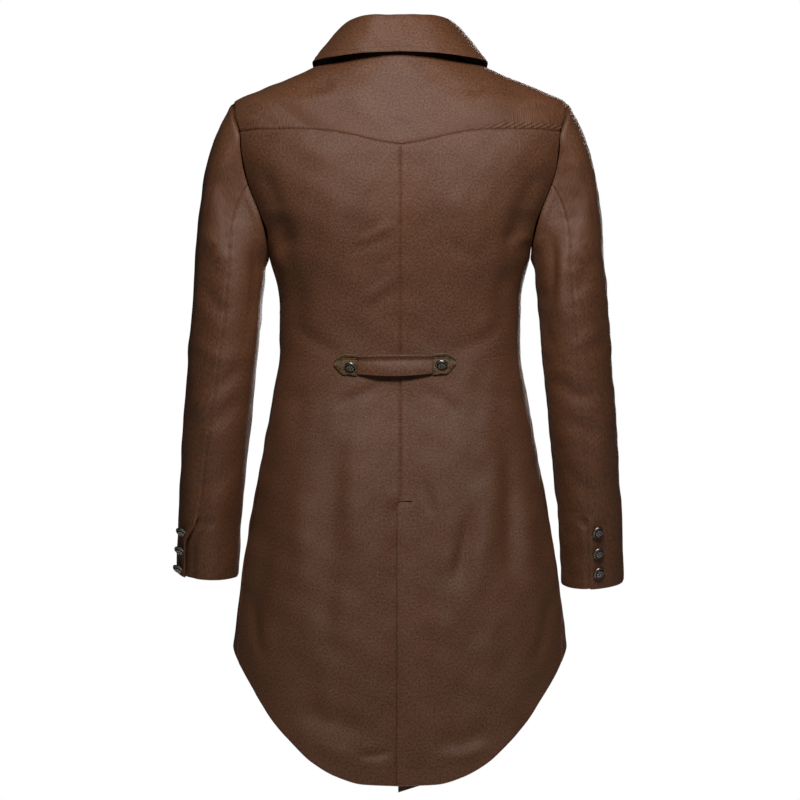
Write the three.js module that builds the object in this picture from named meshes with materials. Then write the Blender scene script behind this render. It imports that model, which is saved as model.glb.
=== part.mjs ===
// Frock coat with a turned-down collar, a pointed back yoke, two-piece sleeves,
// a half belt at the back waist, a lapped back vent and a round tail.
//
// Millimetres, +Z up. The coat faces -Y, so its back is at +Y and the wearer's
// left is at +X. The origin is at the base of the neck, level with the inner
// ends of the shoulder seams.
//
// The body is one form: a stack of horizontal rings, read by an angle round the
// ring and a height. The angle is 0 at centre back, 90 at the wearer's left side
// and 180 at centre front; the wearer's right has negative angles. Every panel is
// a patch of that form between its cut edges, as a wall of cloth.

import * as THREE from "three";

// ---------------------------------------------------------------- sizes

const WALL = 1.8; // two layers of sateen and their interlining
const SEAM_GAP = 0.3; // between two pieces that are sewn together
const LAP_CLEARANCE = 1.0; // between a piece and the panel that it lies on
const LAP_OFFSET = 1.5; // how far each front leaves the form where the two lap
const VENT_TOP = -588;
const UNDERLAY_SHOW = 5; // how far the vent underlay hangs below the hem
const BREAK_HEIGHT = -250; // where the lapels turn and the fronts close
const FRONT_LAP = 20; // how far each front passes centre front
const SHOULDER_SEAM_ANGLE = 97; // the yoke comes just over the shoulder ridge
const NECK_POINT_HEIGHT = 1.5; // the inner end of the shoulder seam
const YOKE_POINT_HEIGHT = -121; // the point of the yoke at centre back
const FRONT_CORNER_HEIGHT = -706; // where the closing edge meets the hem
const COLLAR_END = 157; // the angle of each end of the collar
const STAND_BELOW_FOLD = 3.2;
const CUFF_RADIUS = 46;
const BUTTON_RADIUS = 8.5;
const BUTTON_SIDES = 10;

// Numbers of facets along each piece.
const BACK_COLUMNS = 12;
const FRONT_COLUMNS = 8; // also the yoke's, along each shoulder seam
const VENT_COLUMNS = 2;
const COLLAR_COLUMNS = 16;
const LAPEL_ROWS = 8;
const LAPEL_COLUMNS = 4;
const CAP_ROWS = 5;
const ARM_ROWS = 8;
const BACK_ROWS_ABOVE_VENT = 13;
const BACK_ROWS_IN_VENT = 10;

// ---------------------------------------------------------------- tables

// Rings of the body form. The section is an ellipse, squared a little where
// `square` is over 2. Above -268 the sides run on inside the sleeves.
const BODY_RINGS = [
  { height: 40, half_width: 52, back: 52, front: -30, side: 8, square: 2 },
  { height: 18, half_width: 62, back: 60, front: -42, side: 8, square: 2 },
  { height: 0, half_width: 78, back: 67, front: -52, side: 6, square: 2 },
  { height: -15, half_width: 113, back: 74, front: -61, side: 4, square: 2 },
  { height: -30, half_width: 148, back: 80, front: -69, side: 2, square: 2 },
  { height: -45, half_width: 184, back: 86, front: -77, side: 0, square: 2 },
  { height: -62, half_width: 221.5, back: 92, front: -87, side: -2, square: 2.05 },
  { height: -90, half_width: 236, back: 101, front: -102, side: -4, square: 2.1 },
  { height: -136, half_width: 224, back: 112, front: -118, side: -6, square: 2.2 },
  { height: -200, half_width: 199, back: 117, front: -128, side: -8, square: 2.25 },
  { height: -268, half_width: 173, back: 110, front: -125, side: -8, square: 2.25 },
  { height: -330, half_width: 160.5, back: 100, front: -118, side: -8, square: 2.2 },
  { height: -390, half_width: 160, back: 94, front: -114, side: -8, square: 2.2 },
  { height: -450, half_width: 168.5, back: 99, front: -118, side: -8, square: 2.2 },
  { height: -520, half_width: 181, back: 112, front: -125, side: -6, square: 2.15 },
  { height: -600, half_width: 194.5, back: 124, front: -130, side: -4, square: 2.1 },
  { height: -700, half_width: 211, back: 135, front: -136, side: -2, square: 2.1 },
  { height: -788, half_width: 222, back: 142, front: -140, side: 0, square: 2.1 },
  { height: -980, half_width: 233, back: 152, front: -146, side: 2, square: 2.1 },
];

// The lower edge of the skirt, from centre back round to the front corner.
const HEM = [
  { angle: 0, height: -965 },
  { angle: 12, height: -963 },
  { angle: 21, height: -953 },
  { angle: 30, height: -934 },
  { angle: 39, height: -906 },
  { angle: 46, height: -884 },
  { angle: 54, height: -855 },
  { angle: 64, height: -824 },
  { angle: 77, height: -798 },
  { angle: 90, height: -783 },
  { angle: 105, height: -766 },
  { angle: 120, height: -749 },
  { angle: 134, height: -730 },
  { angle: 144, height: FRONT_CORNER_HEIGHT },
];

// The seam between the yoke and the backs: level, then down to a point.
const YOKE_SEAM = [
  { angle: 0, height: YOKE_POINT_HEIGHT },
  { angle: 7, height: -116 },
  { angle: 15, height: -108 },
  { angle: 24, height: -101.5 },
  { angle: 34, height: -99 },
  { angle: 48, height: -99 },
  { angle: 63.5, height: -102 },
];

// The side seam, from the bottom of the armhole to the hem.
const SIDE_SEAM = [
  { height: -268, angle: 90 },
  { height: -330, angle: 88 },
  { height: -450, angle: 87 },
  { height: -600, angle: 85 },
  { height: -700, angle: 81 },
  { height: -755, angle: 77 },
  { height: -810, angle: 72 },
];

// The armhole, from the shoulder seam down the back, under the arm and up the front.
const ARMHOLE = [
  { angle: 97, height: -63.5 },
  { angle: 90, height: -62 },
  { angle: 80, height: -65 },
  { angle: 70.5, height: -76 },
  { angle: 63.5, height: -102 },
  { angle: 67, height: -136 },
  { angle: 70, height: -172 },
  { angle: 70, height: -212 },
  { angle: 76, height: -244 },
  { angle: 90, height: -268 },
  { angle: 108, height: -244 },
  { angle: 118, height: -210 },
  { angle: 123, height: -172 },
  { angle: 125, height: -136 },
  { angle: 122, height: -104 },
  { angle: 112, height: -78 },
  { angle: 97, height: -63.5 },
];

// The neck edge of the yoke, up to the shoulder seam.
const NECK_EDGE = [
  { angle: 0, height: 18 },
  { angle: 25, height: 16.5 },
  { angle: 50, height: 12 },
  { angle: 72, height: 6.5 },
  { angle: SHOULDER_SEAM_ANGLE, height: NECK_POINT_HEIGHT },
];

// The closing edge below the break, which cuts away below the waist.
const CUTAWAY = [
  { height: BREAK_HEIGHT, angle: 187 },
  { height: -330, angle: 187.5 },
  { height: -420, angle: 187.5 },
  { height: -480, angle: 184 },
  { height: -540, angle: 177 },
  { height: -600, angle: 168 },
  { height: -650, angle: 158 },
  { height: -690, angle: 148 },
  { height: FRONT_CORNER_HEIGHT, angle: 144 },
];

// A lapel lies on its front, from the roll line outward. Each row of the table is
// a place down the roll line, the width there and how far the outer end drops.
const LAPEL = [
  { down: 0, width: 66, drop: 24 },
  { down: 0.1, width: 77, drop: 27 },
  { down: 0.25, width: 75, drop: 23 },
  { down: 0.5, width: 58, drop: 15 },
  { down: 0.8, width: 30, drop: 6 },
  { down: 1, width: 6, drop: 1 },
];
const LAPEL_TOP = 0.2; // just below the collar's end, as a part of the roll line
const LAPEL_FOOT = { left: 0.96, right: 0.74 }; // the right one ends above the lap

// Where the pieces end round the armhole, by the angle that starts each stretch,
// and how many facets each stretch has.
const ARMHOLE_STRETCHES = [
  { name: "yoke", from: 0, to: 4, columns: 4 },
  { name: "upper_back", from: 4, to: 6, columns: 3 },
  { name: "under_back", from: 6, to: 9, columns: 5 },
  { name: "under_front", from: 9, to: 11, columns: 3 },
  { name: "upper_front", from: 11, to: 16, columns: 7 },
];

// The sleeve below its cap, for the wearer's left arm: an oval ring square to the
// arm, which hangs a little outwards and bends forward below the elbow.
const SLEEVE_RINGS = [
  { height: -300, across: 227.5, forward: -10, half_width: 47.5, half_depth: 64 },
  { height: -345, across: 231.2, forward: -8, half_width: 47, half_depth: 61 },
  { height: -400, across: 235.6, forward: -9, half_width: 46.3, half_depth: 58 },
  { height: -460, across: 241, forward: -14, half_width: 45.4, half_depth: 55.5 },
  { height: -530, across: 247, forward: -25, half_width: 44.2, half_depth: 53 },
  { height: -610, across: 253, forward: -40, half_width: 42.6, half_depth: 50.5 },
  { height: -688, across: 257, forward: -55, half_width: 42, half_depth: 50 },
];

// Where each sleeve's back seam lies round the ring (0 is outward, 90 is back).
// The two arms turn by different amounts, and the right one hangs a little lower.
const SLEEVES = {
  left: { side: 1, drop: 0, back_seam_top: 90, back_seam_cuff: 58 },
  right: { side: -1, drop: 12, back_seam_top: 89, back_seam_cuff: 96 },
};
const FRONT_SEAM_AT_RING = 236;

// The collar: its seam on the neck edge, the fold at its top, and its outer edge.
const COLLAR = [
  { angle: 0, fold_x: 0, fold_y: 56, fold_z: 54.5, edge_x: 0, edge_y: 78, edge_z: 4 },
  { angle: 28, fold_x: 32, fold_y: 51, fold_z: 54.5, edge_x: 42, edge_y: 75, edge_z: 2.5 },
  { angle: 58, fold_x: 60, fold_y: 30, fold_z: 51, edge_x: 86, edge_y: 58, edge_z: -2 },
  { angle: 88, fold_x: 72, fold_y: -2, fold_z: 44, edge_x: 115, edge_y: 14, edge_z: -7 },
  { angle: 112, fold_x: 73, fold_y: -26, fold_z: 28, edge_x: 117, edge_y: -16, edge_z: -9 },
  { angle: 135, fold_x: 71, fold_y: -47, fold_z: 6, edge_x: 114, edge_y: -45, edge_z: -22 },
  { angle: 158, fold_x: 61, fold_y: -71, fold_z: -31, edge_x: 104, edge_y: -75, edge_z: -52 },
];

// The half belt: a strap between two pointed tabs, each held by a button.
const BELT = {
  left_end: 56,
  right_end: -43,
  tab_length: 30,
  middle_height: -411,
  strap_half_height: 14,
  sag: 3,
  bulge: 7,
};

const BUTTON_PROFILE = [
  { radius: 0, height: 0 },
  { radius: 2, height: 0 },
  { radius: 2, height: 1.4 },
  { radius: BUTTON_RADIUS, height: 1.7 },
  { radius: BUTTON_RADIUS * 0.86, height: 4.2 },
  { radius: 0, height: 6 },
];

const BELT_BUTTONS = [
  { name: "button_belt_left", across: 64, height: -413 },
  { name: "button_belt_right", across: -54, height: -410 },
];

const CUFF_BUTTON_HEIGHTS = { left: [-628, -653, -678], right: [-623, -651, -677] };
const CUFF_BUTTON_FROM_SEAM = { left: 22, right: 12 };
const FRONT_BUTTON_HEIGHTS = [-266, -314, -362, -410];

// ---------------------------------------------------------------- materials

function cloth(color, roughness) {
  return new THREE.MeshStandardMaterial({ color, roughness, metalness: 0, side: THREE.DoubleSide });
}

const SATEEN = cloth(0x6b4832, 0.62);
const SATEEN_DARK = cloth(0x4d3223, 0.68);
const BROCADE = cloth(0x39241a, 0.8);
const SILVER = new THREE.MeshStandardMaterial({ color: 0x9a948c, roughness: 0.38, metalness: 1 });

// ---------------------------------------------------------------- mathematics

const degrees = THREE.MathUtils.degToRad;
const mix = THREE.MathUtils.lerp;

// Reads one column of a table at a place between its rows, along a smooth curve
// that never passes beyond the rows on either side of it.
function readTable(table, key, column, place) {
  const rising = table[1][key] > table[0][key];
  const last = table.length - 1;
  let row = 0;
  while (row < last - 1 && (rising ? place > table[row + 1][key] : place < table[row + 1][key])) {
    row += 1;
  }
  const slope = (i) => (table[i + 1][column] - table[i][column]) / (table[i + 1][key] - table[i][key]);
  const tangent = (i) => {
    if (i === 0) return slope(0);
    if (i === last) return slope(last - 1);
    const before = slope(i - 1);
    const after = slope(i);
    return before * after <= 0 ? 0 : (2 * before * after) / (before + after);
  };
  const span = table[row + 1][key] - table[row][key];
  const t = (place - table[row][key]) / span;
  if (t < 0) return table[row][column] + tangent(row) * (place - table[row][key]);
  if (t > 1) return table[row + 1][column] + tangent(row + 1) * (place - table[row + 1][key]);
  const t2 = t * t;
  const t3 = t2 * t;
  return (
    (2 * t3 - 3 * t2 + 1) * table[row][column] +
    (t3 - 2 * t2 + t) * span * tangent(row) +
    (3 * t2 - 2 * t3) * table[row + 1][column] +
    (t3 - t2) * span * tangent(row + 1)
  );
}

// A smooth curve through all rows of a table of named columns, read by row number.
function curveThrough(table, columns, place) {
  const last = table.length - 1;
  const row = Math.min(Math.floor(place), last - 1);
  const t = place - row;
  const result = {};
  for (const column of columns) {
    const value = (i) => table[Math.max(0, Math.min(last, i))][column];
    const before = (value(row + 1) - value(row - 1)) / 2;
    const after = (value(row + 2) - value(row)) / 2;
    const jump = value(row + 1) - value(row);
    result[column] =
      value(row) + t * (before + t * (3 * jump - 2 * before - after + t * (before + after - 2 * jump)));
  }
  return result;
}

// ---------------------------------------------------------------- the body form

// A point of the coat's outer face, moved out by `offset`.
function formPoint(angle, height, offset = 0) {
  const ring = (column) => readTable(BODY_RINGS, "height", column, height);
  const sine = Math.sin(degrees(angle));
  const cosine = Math.cos(degrees(angle));
  const square = ring("square");
  const swell = (Math.abs(sine) ** square + Math.abs(cosine) ** square) ** (-1 / square);
  const side = ring("side");
  const depth = cosine > 0 ? ring("back") - side : side - ring("front");
  const point = new THREE.Vector3(ring("half_width") * sine * swell, side + depth * cosine * swell, height);
  return offset === 0 ? point : point.addScaledVector(formNormal(angle, height), offset);
}

function formNormal(angle, height) {
  const step = 0.05;
  const around = formPoint(angle + step, height).sub(formPoint(angle - step, height));
  const up = formPoint(angle, height + step).sub(formPoint(angle, height - step));
  return up.cross(around).normalize();
}

// The change of angle that moves a point of the form by a distance round the ring.
function angleFor(distance, angle, height) {
  const chord = formPoint(angle + 0.5, height).distanceTo(formPoint(angle - 0.5, height));
  return distance / chord;
}

// The angle at which the form passes a place across the back or the front.
function angleAcross(across, height, onFront = false) {
  let low = -90;
  let high = 90;
  for (let step = 0; step < 40; step += 1) {
    const middle = (low + high) / 2;
    if (formPoint(middle, height).x < across) low = middle;
    else high = middle;
  }
  return onFront ? 180 - low : low;
}

// ---------------------------------------------------------------- walls of cloth

// A closed wall between two grids of points that have the same rows and columns.
function wallBetween(outer, inner) {
  const rows = outer.length;
  const columns = outer[0].length;
  const faces = [];
  const at = (layer, row, column) => (layer * rows + row) * columns + column;
  const quad = (a, b, c, d) => faces.push(a, b, c, a, c, d);
  for (let r = 0; r < rows - 1; r += 1) {
    for (let c = 0; c < columns - 1; c += 1) {
      quad(at(0, r, c), at(0, r + 1, c), at(0, r + 1, c + 1), at(0, r, c + 1));
      faces.push(at(1, r, c), at(1, r + 1, c + 1), at(1, r + 1, c));
      faces.push(at(1, r, c), at(1, r, c + 1), at(1, r + 1, c + 1));
    }
  }
  for (let r = 0; r < rows - 1; r += 1) {
    quad(at(0, r, 0), at(1, r, 0), at(1, r + 1, 0), at(0, r + 1, 0));
    const end = columns - 1;
    quad(at(0, r, end), at(0, r + 1, end), at(1, r + 1, end), at(1, r, end));
  }
  for (let c = 0; c < columns - 1; c += 1) {
    quad(at(0, 0, c), at(0, 0, c + 1), at(1, 0, c + 1), at(1, 0, c));
    const end = rows - 1;
    quad(at(0, end, c), at(1, end, c), at(1, end, c + 1), at(0, end, c + 1));
  }
  const points = [...outer.flat(), ...inner.flat()];
  return closedGeometry(points, faces);
}

// Builds the geometry and turns its faces outward, whichever way the grid ran.
function closedGeometry(points, faces) {
  let volume = 0;
  for (let i = 0; i < faces.length; i += 3) {
    const [a, b, c] = [points[faces[i]], points[faces[i + 1]], points[faces[i + 2]]];
    volume += a.dot(new THREE.Vector3().crossVectors(b, c));
  }
  if (volume < 0) faces.reverse();
  const geometry = new THREE.BufferGeometry();
  geometry.setFromPoints(points);
  geometry.setIndex(faces);
  geometry.computeVertexNormals();
  return geometry;
}

// A grid of places on the form, blended inward from its four edges. Each edge is
// a list of { angle, height }; the top and bottom run from the left to the right.
function patch(top, bottom, left, right) {
  const lastRow = left.length - 1;
  const lastColumn = top.length - 1;
  const blend = (key, r, c) => {
    const u = c / lastColumn;
    const v = r / lastRow;
    const edges =
      mix(top[c][key], bottom[c][key], v) + mix(left[r][key], right[r][key], u);
    const corners = mix(
      mix(top[0][key], top[lastColumn][key], u),
      mix(bottom[0][key], bottom[lastColumn][key], u),
      v,
    );
    return edges - corners;
  };
  return left.map((_, r) =>
    top.map((__, c) => ({ angle: blend("angle", r, c), height: blend("height", r, c) })),
  );
}

// The wall of a panel: `lift` moves the whole wall off the form, place by place.
function panelWall(places, lift = () => 0) {
  const outer = places.map((row) => row.map((p) => formPoint(p.angle, p.height, lift(p))));
  const inner = places.map((row) => row.map((p) => formPoint(p.angle, p.height, lift(p) - WALL)));
  return wallBetween(outer, inner);
}

// The same places on the wearer's other side.
const otherSide = (row) => row.map((p) => ({ angle: -p.angle, height: p.height }));
const mirrored = (places) => places.map(otherSide);

const evenly = (count, make) => Array.from({ length: count + 1 }, (_, i) => make(i / count));

// ---------------------------------------------------------------- cut edges

const hemHeight = (angle) => readTable(HEM, "angle", "height", Math.abs(angle));
const sideSeamAngle = (height) => readTable(SIDE_SEAM, "height", "angle", height);

// The armhole's places, stretch by stretch, each evenly spaced along the curve.
function armholeStretch(name) {
  const { from, to, columns } = ARMHOLE_STRETCHES.find((stretch) => stretch.name === name);
  const fine = evenly(60, (t) => curveThrough(ARMHOLE, ["angle", "height"], mix(from, to, t)));
  const points = fine.map((p) => formPoint(p.angle, p.height));
  const length = [0];
  for (let i = 1; i < points.length; i += 1) {
    length.push(length[i - 1] + points[i].distanceTo(points[i - 1]));
  }
  const total = length[length.length - 1];
  return evenly(columns, (t) => {
    let i = 1;
    while (i < length.length - 1 && length[i] < t * total) i += 1;
    const part = (t * total - length[i - 1]) / (length[i] - length[i - 1]);
    return {
      angle: mix(fine[i - 1].angle, fine[i].angle, part),
      height: mix(fine[i - 1].height, fine[i].height, part),
    };
  });
}

const ARMHOLE_YOKE = armholeStretch("yoke");
const ARMHOLE_BACK = [...armholeStretch("upper_back"), ...armholeStretch("under_back").slice(1)];
const ARMHOLE_FRONT = [...armholeStretch("under_front"), ...armholeStretch("upper_front").slice(1)];
const BACK_ROWS = BACK_ROWS_ABOVE_VENT + BACK_ROWS_IN_VENT;
const SIDE_ROWS = BACK_ROWS - (ARMHOLE_BACK.length - 1);

// The side seam's foot is where it crosses the hem.
function sideSeamFoot() {
  let height = -780;
  for (let step = 0; step < 30; step += 1) height = hemHeight(sideSeamAngle(height));
  return height;
}
const SIDE_FOOT = sideSeamFoot();
const sideSeam = evenly(SIDE_ROWS, (t) => {
  const height = mix(ARMHOLE_BACK[ARMHOLE_BACK.length - 1].height, SIDE_FOOT, t);
  return { angle: sideSeamAngle(height), height };
});

// ---------------------------------------------------------------- backs and yoke

function shifted(place, distance) {
  return { angle: place.angle + angleFor(distance, place.angle, place.height), height: place.height };
}

function backPlaces() {
  const gap = SEAM_GAP / 2;
  const side = [...ARMHOLE_BACK, ...sideSeam.slice(1).map((p) => shifted(p, -gap))];
  const middle = [
    ...evenly(BACK_ROWS_ABOVE_VENT, (t) => mix(YOKE_POINT_HEIGHT, VENT_TOP, t)),
    ...evenly(BACK_ROWS_IN_VENT, (t) => mix(VENT_TOP, hemHeight(0), t)).slice(1),
  ].map((height) => shifted({ angle: 0, height }, gap));
  const top = evenly(BACK_COLUMNS, (t) => {
    const angle = mix(middle[0].angle, side[0].angle, t);
    return { angle, height: readTable(YOKE_SEAM, "angle", "height", angle) };
  });
  const foot = side[side.length - 1];
  const bottom = evenly(BACK_COLUMNS, (t) => {
    const angle = mix(middle[0].angle, foot.angle, t);
    return { angle, height: hemHeight(angle) };
  });
  return patch(top, bottom, middle, side);
}

// The underlay of the vent: the left back's edge carried on under the right back.
function underlayWall(rightBack) {
  const rows = rightBack.slice(BACK_ROWS_ABOVE_VENT).map((row) => row.slice(0, VENT_COLUMNS + 1));
  const last = rows[rows.length - 1];
  const places = [
    ...rows.slice(0, -1),
    last.map((p) => ({ angle: p.angle, height: p.height - UNDERLAY_SHOW })),
  ];
  return panelWall(places, () => -WALL - LAP_CLEARANCE / 2);
}
const neckHeight = (angle) => readTable(NECK_EDGE, "angle", "height", Math.abs(angle));

// The shoulder seam, from the armhole to the neck, evenly spaced along the ridge.
function shoulderSeam(columns, side) {
  const start = ARMHOLE_YOKE[0].height;
  return evenly(columns, (t) =>
    shifted(
      { angle: SHOULDER_SEAM_ANGLE, height: mix(start, NECK_POINT_HEIGHT, t) },
      (side * SEAM_GAP) / 2,
    ),
  );
}

// The yoke's foot has the places of the two backs' tops, a seam's gap above them.
function yokePlaces(backTop) {
  const above = backTop.map((p) => ({ angle: p.angle, height: p.height + SEAM_GAP }));
  const left = [...above].reverse();
  const middle = { angle: 0, height: left[left.length - 1].height };
  const foot = [...left.slice(0, -1), middle, ...otherSide(left.slice(0, -1)).reverse()];
  const seam = shoulderSeam(FRONT_COLUMNS, -1);
  const neckColumns = foot.length - 1 - 2 * FRONT_COLUMNS;
  const neck = evenly(neckColumns, (t) => {
    const angle = mix(seam[0].angle, -seam[0].angle, t);
    return { angle, height: neckHeight(angle) };
  });
  const top = [...seam.slice(0, -1), ...neck, ...otherSide(seam.slice(0, -1)).reverse()];
  const edge = [...ARMHOLE_YOKE.slice(0, -1), foot[0]];
  return patch(top, foot, edge, otherSide(edge));
}

// ---------------------------------------------------------------- fronts and lapels

// The roll line of the lapel: straight, from the neck to the break of the fronts.
function rollLine(t) {
  const start = formPoint(SHOULDER_SEAM_ANGLE, NECK_POINT_HEIGHT);
  const height = mix(NECK_POINT_HEIGHT, BREAK_HEIGHT, t);
  if (t === 0) return { angle: SHOULDER_SEAM_ANGLE, height };
  return { angle: angleAcross(mix(start.x, -FRONT_LAP, t), height, true), height };
}


// Each front's grid: the armhole and the side seam on one side, the roll line and
// the closing edge on the other.
function frontPlaces() {
  const top = shoulderSeam(FRONT_COLUMNS, 1);
  const armhole = [...ARMHOLE_FRONT].reverse();
  const side = [
    top[0],
    ...armhole.slice(1),
    ...sideSeam.slice(1).map((p) => shifted(p, SEAM_GAP / 2)),
  ];
  const armRows = armhole.length - 1;
  const rows = side.length - 1;
  const breakPoint = rollLine(1);
  const closingEdge = evenly(rows - armRows, (t) => {
    const height = mix(BREAK_HEIGHT, FRONT_CORNER_HEIGHT, t);
    const angle = readTable(CUTAWAY, "height", "angle", height);
    return { angle: mix(breakPoint.angle, angle, Math.min(1, 4 * t)), height };
  });
  const opening = [
    top[FRONT_COLUMNS],
    ...evenly(armRows, rollLine).slice(1),
    ...closingEdge.slice(1),
  ];
  const bottom = evenly(FRONT_COLUMNS, (t) => {
    const angle = mix(side[rows].angle, opening[rows].angle, t);
    return { angle, height: hemHeight(angle) };
  });
  bottom[FRONT_COLUMNS] = opening[rows];
  return patch(top, bottom, side, opening);
}

// Near centre front the left front moves out and the right front moves in.
function frontLift(direction) {
  return (place) => {
    const fromMiddle = Math.abs(Math.abs(place.angle) - 180);
    const away = THREE.MathUtils.smoothstep(fromMiddle, 12, 34);
    return direction * LAP_OFFSET * (1 - away);
  };
}


function lapelWall(direction) {
  const lift = frontLift(direction);
  const foot = direction > 0 ? LAPEL_FOOT.left : LAPEL_FOOT.right;
  const grid = (offset) =>
    evenly(LAPEL_ROWS, (v) => {
      const roll = rollLine(mix(LAPEL_TOP, foot, v));
      const width = readTable(LAPEL, "down", "width", v);
      const drop = readTable(LAPEL, "down", "drop", v);
      return evenly(LAPEL_COLUMNS, (u) => {
        const height = roll.height - drop * u;
        const start = formPoint(roll.angle, roll.height).x;
        const angle = angleAcross(start + width * u + 1, height, true);
        const place = { angle, height };
        const point = formPoint(angle, height, lift(place) + LAP_CLEARANCE + offset);
        point.x *= direction;
        return point;
      });
    });
  return wallBetween(grid(WALL), grid(0));
}

// ---------------------------------------------------------------- collar

// The collar's seam sits a seam's gap beyond the neck edge of the yoke and fronts.
function collarSeam(angle) {
  const size = Math.abs(angle);
  if (size < SHOULDER_SEAM_ANGLE) {
    const height = neckHeight(size);
    const rise = formPoint(angle, height + 0.5).distanceTo(formPoint(angle, height - 0.5));
    return { angle, height: height + (5 * SEAM_GAP) / rise };
  }
  let low = 0;
  let high = 0.5;
  for (let step = 0; step < 30; step += 1) {
    const middle = (low + high) / 2;
    if (rollLine(middle).angle < size) low = middle;
    else high = middle;
  }
  const place = rollLine(low);
  const beyond = place.angle + angleFor(2 * SEAM_GAP, place.angle, place.height);
  return { angle: Math.sign(angle) * beyond, height: place.height };
}

function collarSection(angle) {
  const size = Math.abs(angle);
  const side = angle < 0 ? -1 : 1;
  const read = (column) => readTable(COLLAR, "angle", column, size);
  const seam = collarSeam(angle);
  return {
    seam: formPoint(seam.angle, seam.height),
    fold: new THREE.Vector3(side * read("fold_x"), read("fold_y"), read("fold_z")),
    edge: new THREE.Vector3(side * read("edge_x"), read("edge_y"), read("edge_z")),
  };
}

// Wall of a strip given by its rows of points, thickened to the side of `away`.
function stripWall(rows, away) {
  const thick = rows.map((row, r) =>
    row.map((point, c) => {
      const next = row[Math.min(c + 1, row.length - 1)];
      const before = row[Math.max(c - 1, 0)];
      const below = rows[Math.min(r + 1, rows.length - 1)][c];
      const above = rows[Math.max(r - 1, 0)][c];
      const along = new THREE.Vector3().subVectors(next, before);
      const down = new THREE.Vector3().subVectors(below, above);
      const normal = along.cross(down).normalize();
      if (normal.dot(away(point)) < 0) normal.negate();
      return point.clone().addScaledVector(normal, WALL);
    }),
  );
  return wallBetween(thick, rows);
}

const collarAngles = evenly(COLLAR_COLUMNS, (t) => mix(COLLAR_END, -COLLAR_END, t));
const fromNeck = (point) => new THREE.Vector3(point.x, point.y, 0);

// The stand rises from the neck seam and stops just under the fold.
function collarStandWall() {
  const sections = collarAngles.map(collarSection);
  const rows = evenly(2, (t) =>
    sections.map(({ seam, fold }) => {
      const top = fold.clone().addScaledVector(fromNeck(fold).normalize(), -0.5);
      top.z -= STAND_BELOW_FOLD;
      return seam.clone().lerp(top, t);
    }),
  );
  return stripWall(rows, (point) => fromNeck(point).negate());
}

// The fall rolls over the stand and comes down outside it, over the yoke.
function collarFallWall() {
  const sections = collarAngles.map(collarSection);
  const rows = evenly(4, (t) =>
    sections.map(({ fold, edge }) => {
      const outward = fromNeck(fold).normalize();
      const start = fold.clone().addScaledVector(outward, -3);
      start.z -= 1;
      if (t === 0) return start;
      const along = (t - 0.25) / 0.75;
      const crown = fold.clone().addScaledVector(outward, 1.5);
      const belly = 2 * Math.sin(Math.PI * along);
      return crown.lerp(edge, along).addScaledVector(outward, belly);
    }),
  );
  return stripWall(rows, (point) => fromNeck(point).setZ(30));
}

// ---------------------------------------------------------------- sleeves

// A point of a sleeve ring: `turn` is 0 outward, 90 at the back, 180 at the body.
function sleevePoint(height, turn) {
  const read = (column, at = height) => readTable(SLEEVE_RINGS, "height", column, at);
  const centre = new THREE.Vector3(read("across"), read("forward"), height);
  const step = 5;
  const above = new THREE.Vector3(read("across", height + step), read("forward", height + step), step);
  const below = new THREE.Vector3(read("across", height - step), read("forward", height - step), -step);
  const axis = above.sub(below).normalize();
  const outward = new THREE.Vector3(1, 0, 0).addScaledVector(axis, -axis.x).normalize();
  const backward = new THREE.Vector3().crossVectors(axis, outward);
  return centre
    .addScaledVector(outward, read("half_width") * Math.cos(degrees(turn)))
    .addScaledVector(backward, read("half_depth") * Math.sin(degrees(turn)));
}

const backSeamTurn = (sleeve, t) => mix(sleeve.back_seam_top, sleeve.back_seam_cuff, t ** 1.3);
const SLEEVE_TOP = SLEEVE_RINGS[0].height;
const SLEEVE_HEM = SLEEVE_RINGS[SLEEVE_RINGS.length - 1].height;

// The armhole as a closed loop, from the sleeve's front seam over the top to its
// back seam and back under the arm.
const UPPER_EDGE = [
  ...armholeStretch("upper_front").slice(0, -1),
  ...ARMHOLE_YOKE.slice(0, -1),
  ...armholeStretch("upper_back"),
];
const UNDER_EDGE = [...armholeStretch("under_back"), ...armholeStretch("under_front").slice(1)];
const UPPER_COLUMNS = UPPER_EDGE.length - 1;
const UNDER_COLUMNS = UNDER_EDGE.length - 1;
const LOOP = [...UPPER_EDGE.slice(0, -1), ...UNDER_EDGE.slice(0, -1)];

// Each place of the armhole with its point, its normal, the way along the loop
// and the way off the panel.
const ARMHOLE_EDGE = LOOP.map((place, i) => {
  const at = (index) => formPoint(LOOP[index].angle, LOOP[index].height);
  const next = at((i + 1) % LOOP.length);
  const before = at((i + LOOP.length - 1) % LOOP.length);
  const normal = formNormal(place.angle, place.height);
  const along = next.sub(before).normalize();
  const off = new THREE.Vector3().crossVectors(along, normal).normalize();
  return { point: at(i), normal, along, off };
});

// How far each column of the loop turns round the sleeve, down the arm.
function turnAt(column, down, sleeve) {
  const backSeam = backSeamTurn(sleeve, down);
  if (column <= UPPER_COLUMNS) return mix(FRONT_SEAM_AT_RING - 360, backSeam, column / UPPER_COLUMNS);
  return mix(backSeam, FRONT_SEAM_AT_RING, (column - UPPER_COLUMNS) / UNDER_COLUMNS);
}

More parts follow.
